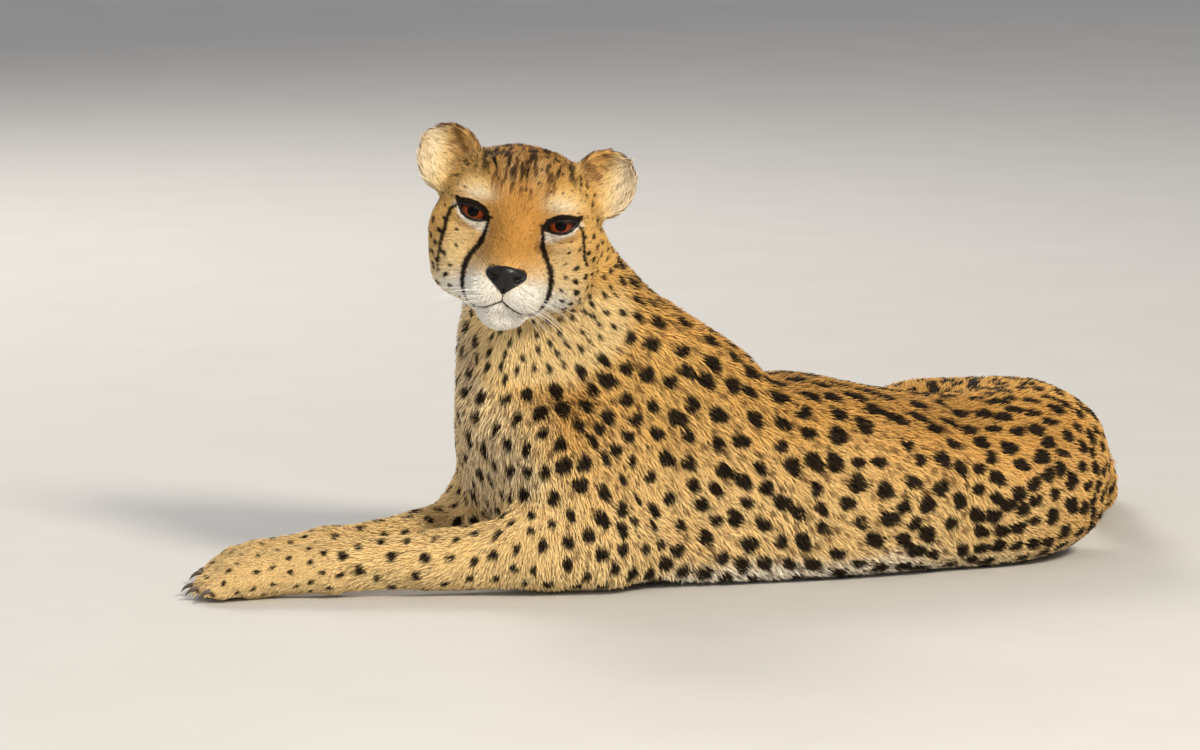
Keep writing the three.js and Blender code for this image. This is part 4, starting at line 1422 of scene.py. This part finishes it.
def makeEye(name, centre):
    gaze = unit(sum(part * axis for part, axis in zip(eyeLooks["gaze"], (headForward, headLeft, headUp))))
    builder = bmesh.new()
    turn = Vector(gaze).to_track_quat("Z", "Y").to_matrix().to_4x4()
    bmesh.ops.create_uvsphere(builder, u_segments=64, v_segments=48, radius=eyeValues["radius"] * mm,
                              matrix=Matrix.Translation(Vector(centre)) @ turn)
    mesh = bpy.data.meshes.new(name)
    builder.to_mesh(mesh)
    builder.free()
    place = (positionsOf(mesh) - centre) / mm
    ahead = place @ gaze
    sideways = place @ headLeft
    upward = place @ unit(np.cross(gaze, headLeft))
    reach = np.hypot(sideways, upward)
    proud, wide = eyeLooks["bulge"]
    bulge = np.where(ahead > 0, proud * np.exp(-(reach / wide) ** 2), 0)
    setPositions(mesh, centre + (place + gaze * bulge[:, None]) * mm)
    reach = np.where(ahead > 0, reach, 30.0)
    angle = np.arctan2(upward, sideways)
    layer = mesh.attributes.new("iris", "FLOAT_VECTOR", "POINT")
    places = np.stack([reach, np.cos(angle) * 3, np.sin(angle) * 3], axis=1)
    layer.data.foreach_set("vector", places.astype(np.float32).ravel())
    shadeSmooth(mesh)
    eye = linked(name + "Ball", mesh, eyeFinish)
    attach(eye, "root")
    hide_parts(name)


for name, centre in (("eye_left", eyeLeft), ("eye_right", eyeRight)):
    makeEye(name, centre)
print("eyes made")


# the lids' dark moist rims

lidValues = {
    "thick": 0.95,
    "proud": 0.5,  # over the eyeball
    "steps": 40,
}


def darkLeather(name, roughness, pebble, depth, colour, glint):
    settings = {"Coat Weight": 0.14, "Coat Roughness": 0.2, "Specular IOR Level": 0.3}
    material, tree, shader = newMaterial(name, roughness, **settings)
    grain = noise(tree, -900, 0, pebble * 0.4, 4)
    shade = mixColours(tree, -500, 300, mapRange(tree, -700, 0, grain, 0.3, 0.75), colour, glint)
    tree.links.new(shade, shader.inputs["Base Color"])
    place = node(tree, "ShaderNodeTexCoord", -1100, -400).outputs["Object"]
    cells = node(tree, "ShaderNodeTexVoronoi", -900, -400, feature="SMOOTH_F1")
    cells.inputs["Scale"].default_value = pebble
    tree.links.new(place, cells.inputs["Vector"])
    addBump(tree, shader, cells.outputs["Distance"], 0.6, depth)
    return material


leather = darkLeather("noseLeather", 0.42, 900, 0.0004, (0.004, 0.003, 0.003), (0.012, 0.010, 0.009))
lidFinish = darkLeather("lidSkin", 0.4, 1600, 0.00015, (0.006, 0.004, 0.004), (0.016, 0.010, 0.008))


def openingEdge(side):
    # round the opening: the upper edge outwards, the lower one back, in mm left and up of the eye's centre
    slant = math.radians(eyeValues["slant"])
    edge = []
    for upper in (True, False):
        for along in np.cos(np.linspace(math.pi, 0, lidValues["steps"] + 1))[:-1] * (1 if upper else -1):
            above = lidHeights(along)[0 if upper else 1]
            across = along * eyeValues["halfWidth"]
            edge.append((side * (across * math.cos(slant) - above * math.sin(slant)),
                         above * math.cos(slant) + across * math.sin(slant)))
    return np.array(edge)


def tubesFrom(name, paths, radii, cyclic, sides, material):
    # round tubes along paths of points, as one mesh
    curve = bpy.data.curves.new(name, "CURVE")
    curve.dimensions = "3D"
    curve.bevel_depth = 1.0
    curve.bevel_resolution = sides
    curve.use_fill_caps = not cyclic
    for path, radius in zip(paths, radii):
        spline = curve.splines.new("POLY")
        spline.points.add(len(path) - 1)
        spline.use_cyclic_u = cyclic
        for point, place, thick in zip(spline.points, path, radius):
            point.co = (*place, 1)
            point.radius = thick * mm
    shape = bpy.data.objects.new(name + "Path", curve)
    bpy.context.scene.collection.objects.link(shape)
    mesh = bpy.data.meshes.new_from_object(shape.evaluated_get(bpy.context.evaluated_depsgraph_get()))
    bpy.data.objects.remove(shape)
    mesh.name = name
    mesh.materials.clear()
    shadeSmooth(mesh)
    piece = linked(name, mesh, material)
    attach(piece, "root")
    return piece


def makeLids():
    for side, place in eyeSides():
        edge = openingEdge(side)
        reach = eyeValues["radius"] + lidValues["proud"]
        ahead = np.sqrt(np.maximum(reach ** 2 - np.sum(edge ** 2, axis=1), 1))
        path = fromHead(np.stack([ahead, edge[:, 0] + place, edge[:, 1]], axis=1))
        name = "lidsLeft" if side > 0 else "lidsRight"
        lids = tubesFrom(name, [path], [[lidValues["thick"]] * len(path)], True, 4, lidFinish)


makeLids()


def makeNose():
    across, down = noseValues["cells"]
    out, rise = noseValues["nostrilPlace"]
    wide, high = noseValues["nostrilSize"]
    builder = bmesh.new()
    bmesh.ops.create_grid(builder, x_segments=across, y_segments=down, size=1.0)
    for vert in builder.verts:
        s, t = vert.co.x, (1 - vert.co.y) / 2
        rounding = 1.8 * s ** 4 * (1 - t) ** 3
        left = s * noseHalf(t)
        up = noseValues["top"] - noseValues["tall"] * t - rounding
        up += 0.8 * math.cos(s * math.pi) * (1 - t) ** 4
        place, outward = drape(left, up)
        edge = min(1 - abs(s), 1 - abs(2 * t - 1) + 0.02)
        proud = noseValues["proud"] * min(1, edge / 0.16) ** 0.6 - 0.9 * (edge < 0.03)
        proud += 1.1 * math.exp(-((t - 0.22) / 0.2) ** 2) * (1 - s * s)
        proud -= 0.7 * math.exp(-(left / 1.1) ** 2) * smoothStep(0.25, 0.5, t)
        for nostrilSide in (1, -1):
            x, y = nostrilSide * left - out, up - noseValues["top"] - rise
            curl = math.hypot(x / wide, (y - 0.16 * x ** 2) / high)
            proud -= noseValues["nostril"] * math.exp(-curl ** 4)
        vert.co = place + outward * proud * mm
    outwards = sum((face.normal * face.calc_area() for face in builder.faces), Vector())
    if outwards.dot(Vector(headForward)) < 0:
        bmesh.ops.reverse_faces(builder, faces=builder.faces)
    for step in range(2):
        bmesh.ops.smooth_vert(builder, verts=[v for v in builder.verts if not v.is_boundary], factor=0.4,
                              use_axis_x=True, use_axis_y=True, use_axis_z=True)
    rim = [edge for edge in builder.edges if edge.is_boundary]
    wall = bmesh.ops.extrude_edge_only(builder, edges=rim)["geom"]
    behind = [part for part in wall if isinstance(part, bmesh.types.BMVert)]
    bmesh.ops.translate(builder, verts=behind, vec=Vector(-headForward * noseValues["wall"] * mm))
    bmesh.ops.holes_fill(builder, edges=[e for e in builder.edges if e.is_boundary], sides=0)
    bmesh.ops.triangulate(builder, faces=[face for face in builder.faces if len(face.verts) > 4])
    bmesh.ops.recalc_face_normals(builder, faces=builder.faces)
    mesh = bpy.data.meshes.new("noseLeather")
    builder.to_mesh(mesh)
    builder.free()
    shadeSmooth(mesh)
    piece = linked("noseLeather", mesh, leather)
    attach(piece, "root")


makeNose()


def clearUnderNose(mesh):
    # the skin steps back behind the leather, where the nostrils are deep
    place = positionsOf(mesh)
    under = inNose(toHead(place))
    place[under] -= headForward * noseValues["hollow"] * mm
    setPositions(mesh, place)


clearUnderNose(skin.data)


lipValues = {
    "thick": 0.75,
    "sunk": 0.35,  # below the skin
}


def makeLips():
    # the dark edge of the closed lips
    points = mouthPoints()
    half = len(points) // 2
    order = np.concatenate([points[half + 1:][::-1], points[:half + 1]])
    order = order[order[:, 0] > mouthValues["rightEnd"]]
    path = []
    for left, up in order:
        place, outward = drape(left, up)
        path.append(np.array(place) - np.array(outward) * lipValues["sunk"] * mm)
    path = np.array(path)
    for step in range(2):
        path[1:-1] = (path[:-2] + path[1:-1] * 2 + path[2:]) / 4
    thick = lipValues["thick"] * np.sin(np.linspace(0.12, math.pi - 0.12, len(path))) ** 0.4
    lips = tubesFrom("lips", [path], [thick], False, 3, lidFinish)


makeLips()


# claws: worn horn, blunt, as a cheetah's stay out

clawValues = {
    "long": 11.0,
    "thick": 2.1,
    "drop": 5.5,
    "ahead": 6.2,  # its root from the toe's end
    "steps": 8,
}


def makeClaws():
    paths, radii = [], []
    for foot in pawValues["feet"]:
        for start, end, angle in toesOf(foot):
            way = np.array([math.cos(angle), math.sin(angle), 0])
            t = np.linspace(0, 1, clawValues["steps"])
            along = t[:, None]
            root = end + way * clawValues["ahead"] * mm + np.array([0, 0, 1.0 * mm])
            paths.append(root + way * clawValues["long"] * mm * (along - 0.12 * along ** 3)
                         + np.array([0, 0, -1]) * clawValues["drop"] * mm * along ** 2)
            radii.append(clawValues["thick"] * (1 - 0.85 * t ** 1.6))
    material, tree, shader = newMaterial("clawHorn", 0.38, **{"Specular IOR Level": 0.5})
    grain = noise(tree, -700, 0, 220, 4)
    tone = mixColours(tree, -300, 300, grain, (0.035, 0.022, 0.014), (0.16, 0.11, 0.07))
    tree.links.new(tone, shader.inputs["Base Color"])
    claws = tubesFrom("claws", paths, radii, False, 3, material)


makeClaws()


whiskerValues = {
    "rows": 4,
    "each": 5,
    "long": (20, 42),  # mm
    "thick": 0.22,
    "steps": 9,
    "first": (14.5, -54.5),  # mm to the side and up, of the first in the top row
    "apart": (3.4, 4.1),  # within a row, and from row to row
}


def makeWhiskers():
    generator = np.random.default_rng(61)
    paths, radii = [], []
    (firstLeft, firstUp), (leftApart, upApart) = whiskerValues["first"], whiskerValues["apart"]
    t = np.linspace(0, 1, whiskerValues["steps"])
    along = t[:, None]
    for side in (1, -1):
        for row in range(whiskerValues["rows"]):
            for number in range(whiskerValues["each"]):
                left = side * (firstLeft + number * leftApart + generator.uniform(-0.8, 0.8))
                up = firstUp - row * upApart - 0.25 * abs(left) + generator.uniform(-0.7, 0.7)
                root, outward = drape(left, up)
                if root is None:
                    continue
                long = generator.uniform(*whiskerValues["long"]) * (0.6 + 0.1 * number)
                start = unit(np.array([0.45, side * 1.0, 0.10 - 0.14 * row + generator.normal(0, 0.07)]))
                bend = np.array([-0.30, side * 0.05, -0.55 + generator.normal(0, 0.12)])
                first = toHead(np.array([root[:]]))[0]
                paths.append(fromHead(first + start * long * along + bend * long * along ** 2 * 0.55))
                radii.append(whiskerValues["thick"] * (1 - 0.85 * t))
    material, tree, shader = newMaterial("whiskerWhite", 0.35, **{"Specular IOR Level": 0.5})
    tone = mixColours(tree, -300, 300, noise(tree, -700, 0, 160, 2), (0.80, 0.77, 0.70), (0.92, 0.90, 0.86))
    tree.links.new(tone, shader.inputs["Base Color"])
    whiskers = tubesFrom("whiskers", paths, radii, False, 1, material)


makeWhiskers()
print("lids, nose, lips, claws and whiskers made")


# floor, light and camera

stageValues = {
    "floor": 14.0,
    "aim": (0.1060, 0.1099, -0.1483),  # from between the eyes, in metres
    "azimuth": -18.0,
    "elevation": 8.0,
    "distance": 6.0,
    "lens": 216.0,
    "sensor": 36,
    "clip": 60,
    "worldColour": (0.90, 0.93, 1.0, 1),
    "worldStrength": 0.38,
}
lamps = {
    "key": {"place": (1.0, -3.6, 2.7), "aim": (0.05, 0, 0.2), "size": 0.9, "power": 188,
            "colour": (1.0, 0.92, 0.76)},
    "fill": {"place": (-3.0, -3.0, 1.2), "aim": (0, 0, 0.2), "size": 2.4, "power": 48,
             "colour": (0.97, 0.97, 1.0)},
    "glint": {"place": (-0.5, -5.2, 2.1), "aim": (-0.2, -0.2, 0.3), "size": 0.5, "power": 8,
              "colour": (1.0, 1.0, 1.0)},
    "back": {"place": (-0.4, 2.8, 2.2), "aim": (0.1, 0, 0.2), "size": 1.6, "power": 60,
             "colour": (1.0, 0.95, 0.88)},
}


def floorMaterial():
    material, tree, shader = newMaterial("paleFloor", 0.7, **{"Specular IOR Level": 0.2})
    grain = noise(tree, -700, 0, 7, 5)
    colour = mixColours(tree, -300, 0, grain, (0.60, 0.58, 0.55), (0.66, 0.64, 0.61))
    tree.links.new(colour, shader.inputs["Base Color"])
    return material


def makeStage():
    builder = bmesh.new()
    bmesh.ops.create_grid(builder, x_segments=4, y_segments=4, size=stageValues["floor"] / 2)
    mesh = bpy.data.meshes.new("floor")
    builder.to_mesh(mesh)
    builder.free()
    linked("floor", mesh, floorMaterial())
    world = bpy.data.worlds.new("studio")
    world.use_nodes = True
    background = world.node_tree.nodes["Background"]
    background.inputs["Color"].default_value = stageValues["worldColour"]
    background.inputs["Strength"].default_value = stageValues["worldStrength"]
    bpy.context.scene.world = world


def areaLight(name, place, aim, size, power, colour):
    light = bpy.data.lights.new(name, "AREA")
    light.shape = "DISK"
    light.size = size
    light.energy = power
    light.color = colour
    lamp = bpy.data.objects.new(name, light)
    bpy.context.scene.collection.objects.link(lamp)
    lamp.location = place
    lamp.rotation_euler = (Vector(aim) - Vector(place)).to_track_quat("-Z", "Y").to_euler()
    lamp.visible_glossy = name != "fill"  # the wide fill isn't mirrored in the eyes


def makeCamera():
    aim = Vector(eyeMiddle) + Vector(stageValues["aim"])
    azimuth, elevation = math.radians(stageValues["azimuth"]), math.radians(stageValues["elevation"])
    level = math.cos(elevation)
    back = Vector((math.sin(azimuth) * level, -math.cos(azimuth) * level, math.sin(elevation)))
    camera = bpy.data.objects.new("camera", bpy.data.cameras.new("camera"))
    bpy.context.scene.collection.objects.link(camera)
    camera.data.lens = stageValues["lens"]
    camera.data.sensor_width = stageValues["sensor"]
    camera.data.clip_end = stageValues["clip"]
    camera.location = aim + back * stageValues["distance"]
    camera.rotation_euler = (-back).to_track_quat("-Z", "Y").to_euler()
    bpy.context.scene.camera = camera


makeStage()
for name, values in lamps.items():
    areaLight(name, **values)
bpy.context.scene.view_settings.view_transform = "Standard"
makeCamera()
print("stage set")
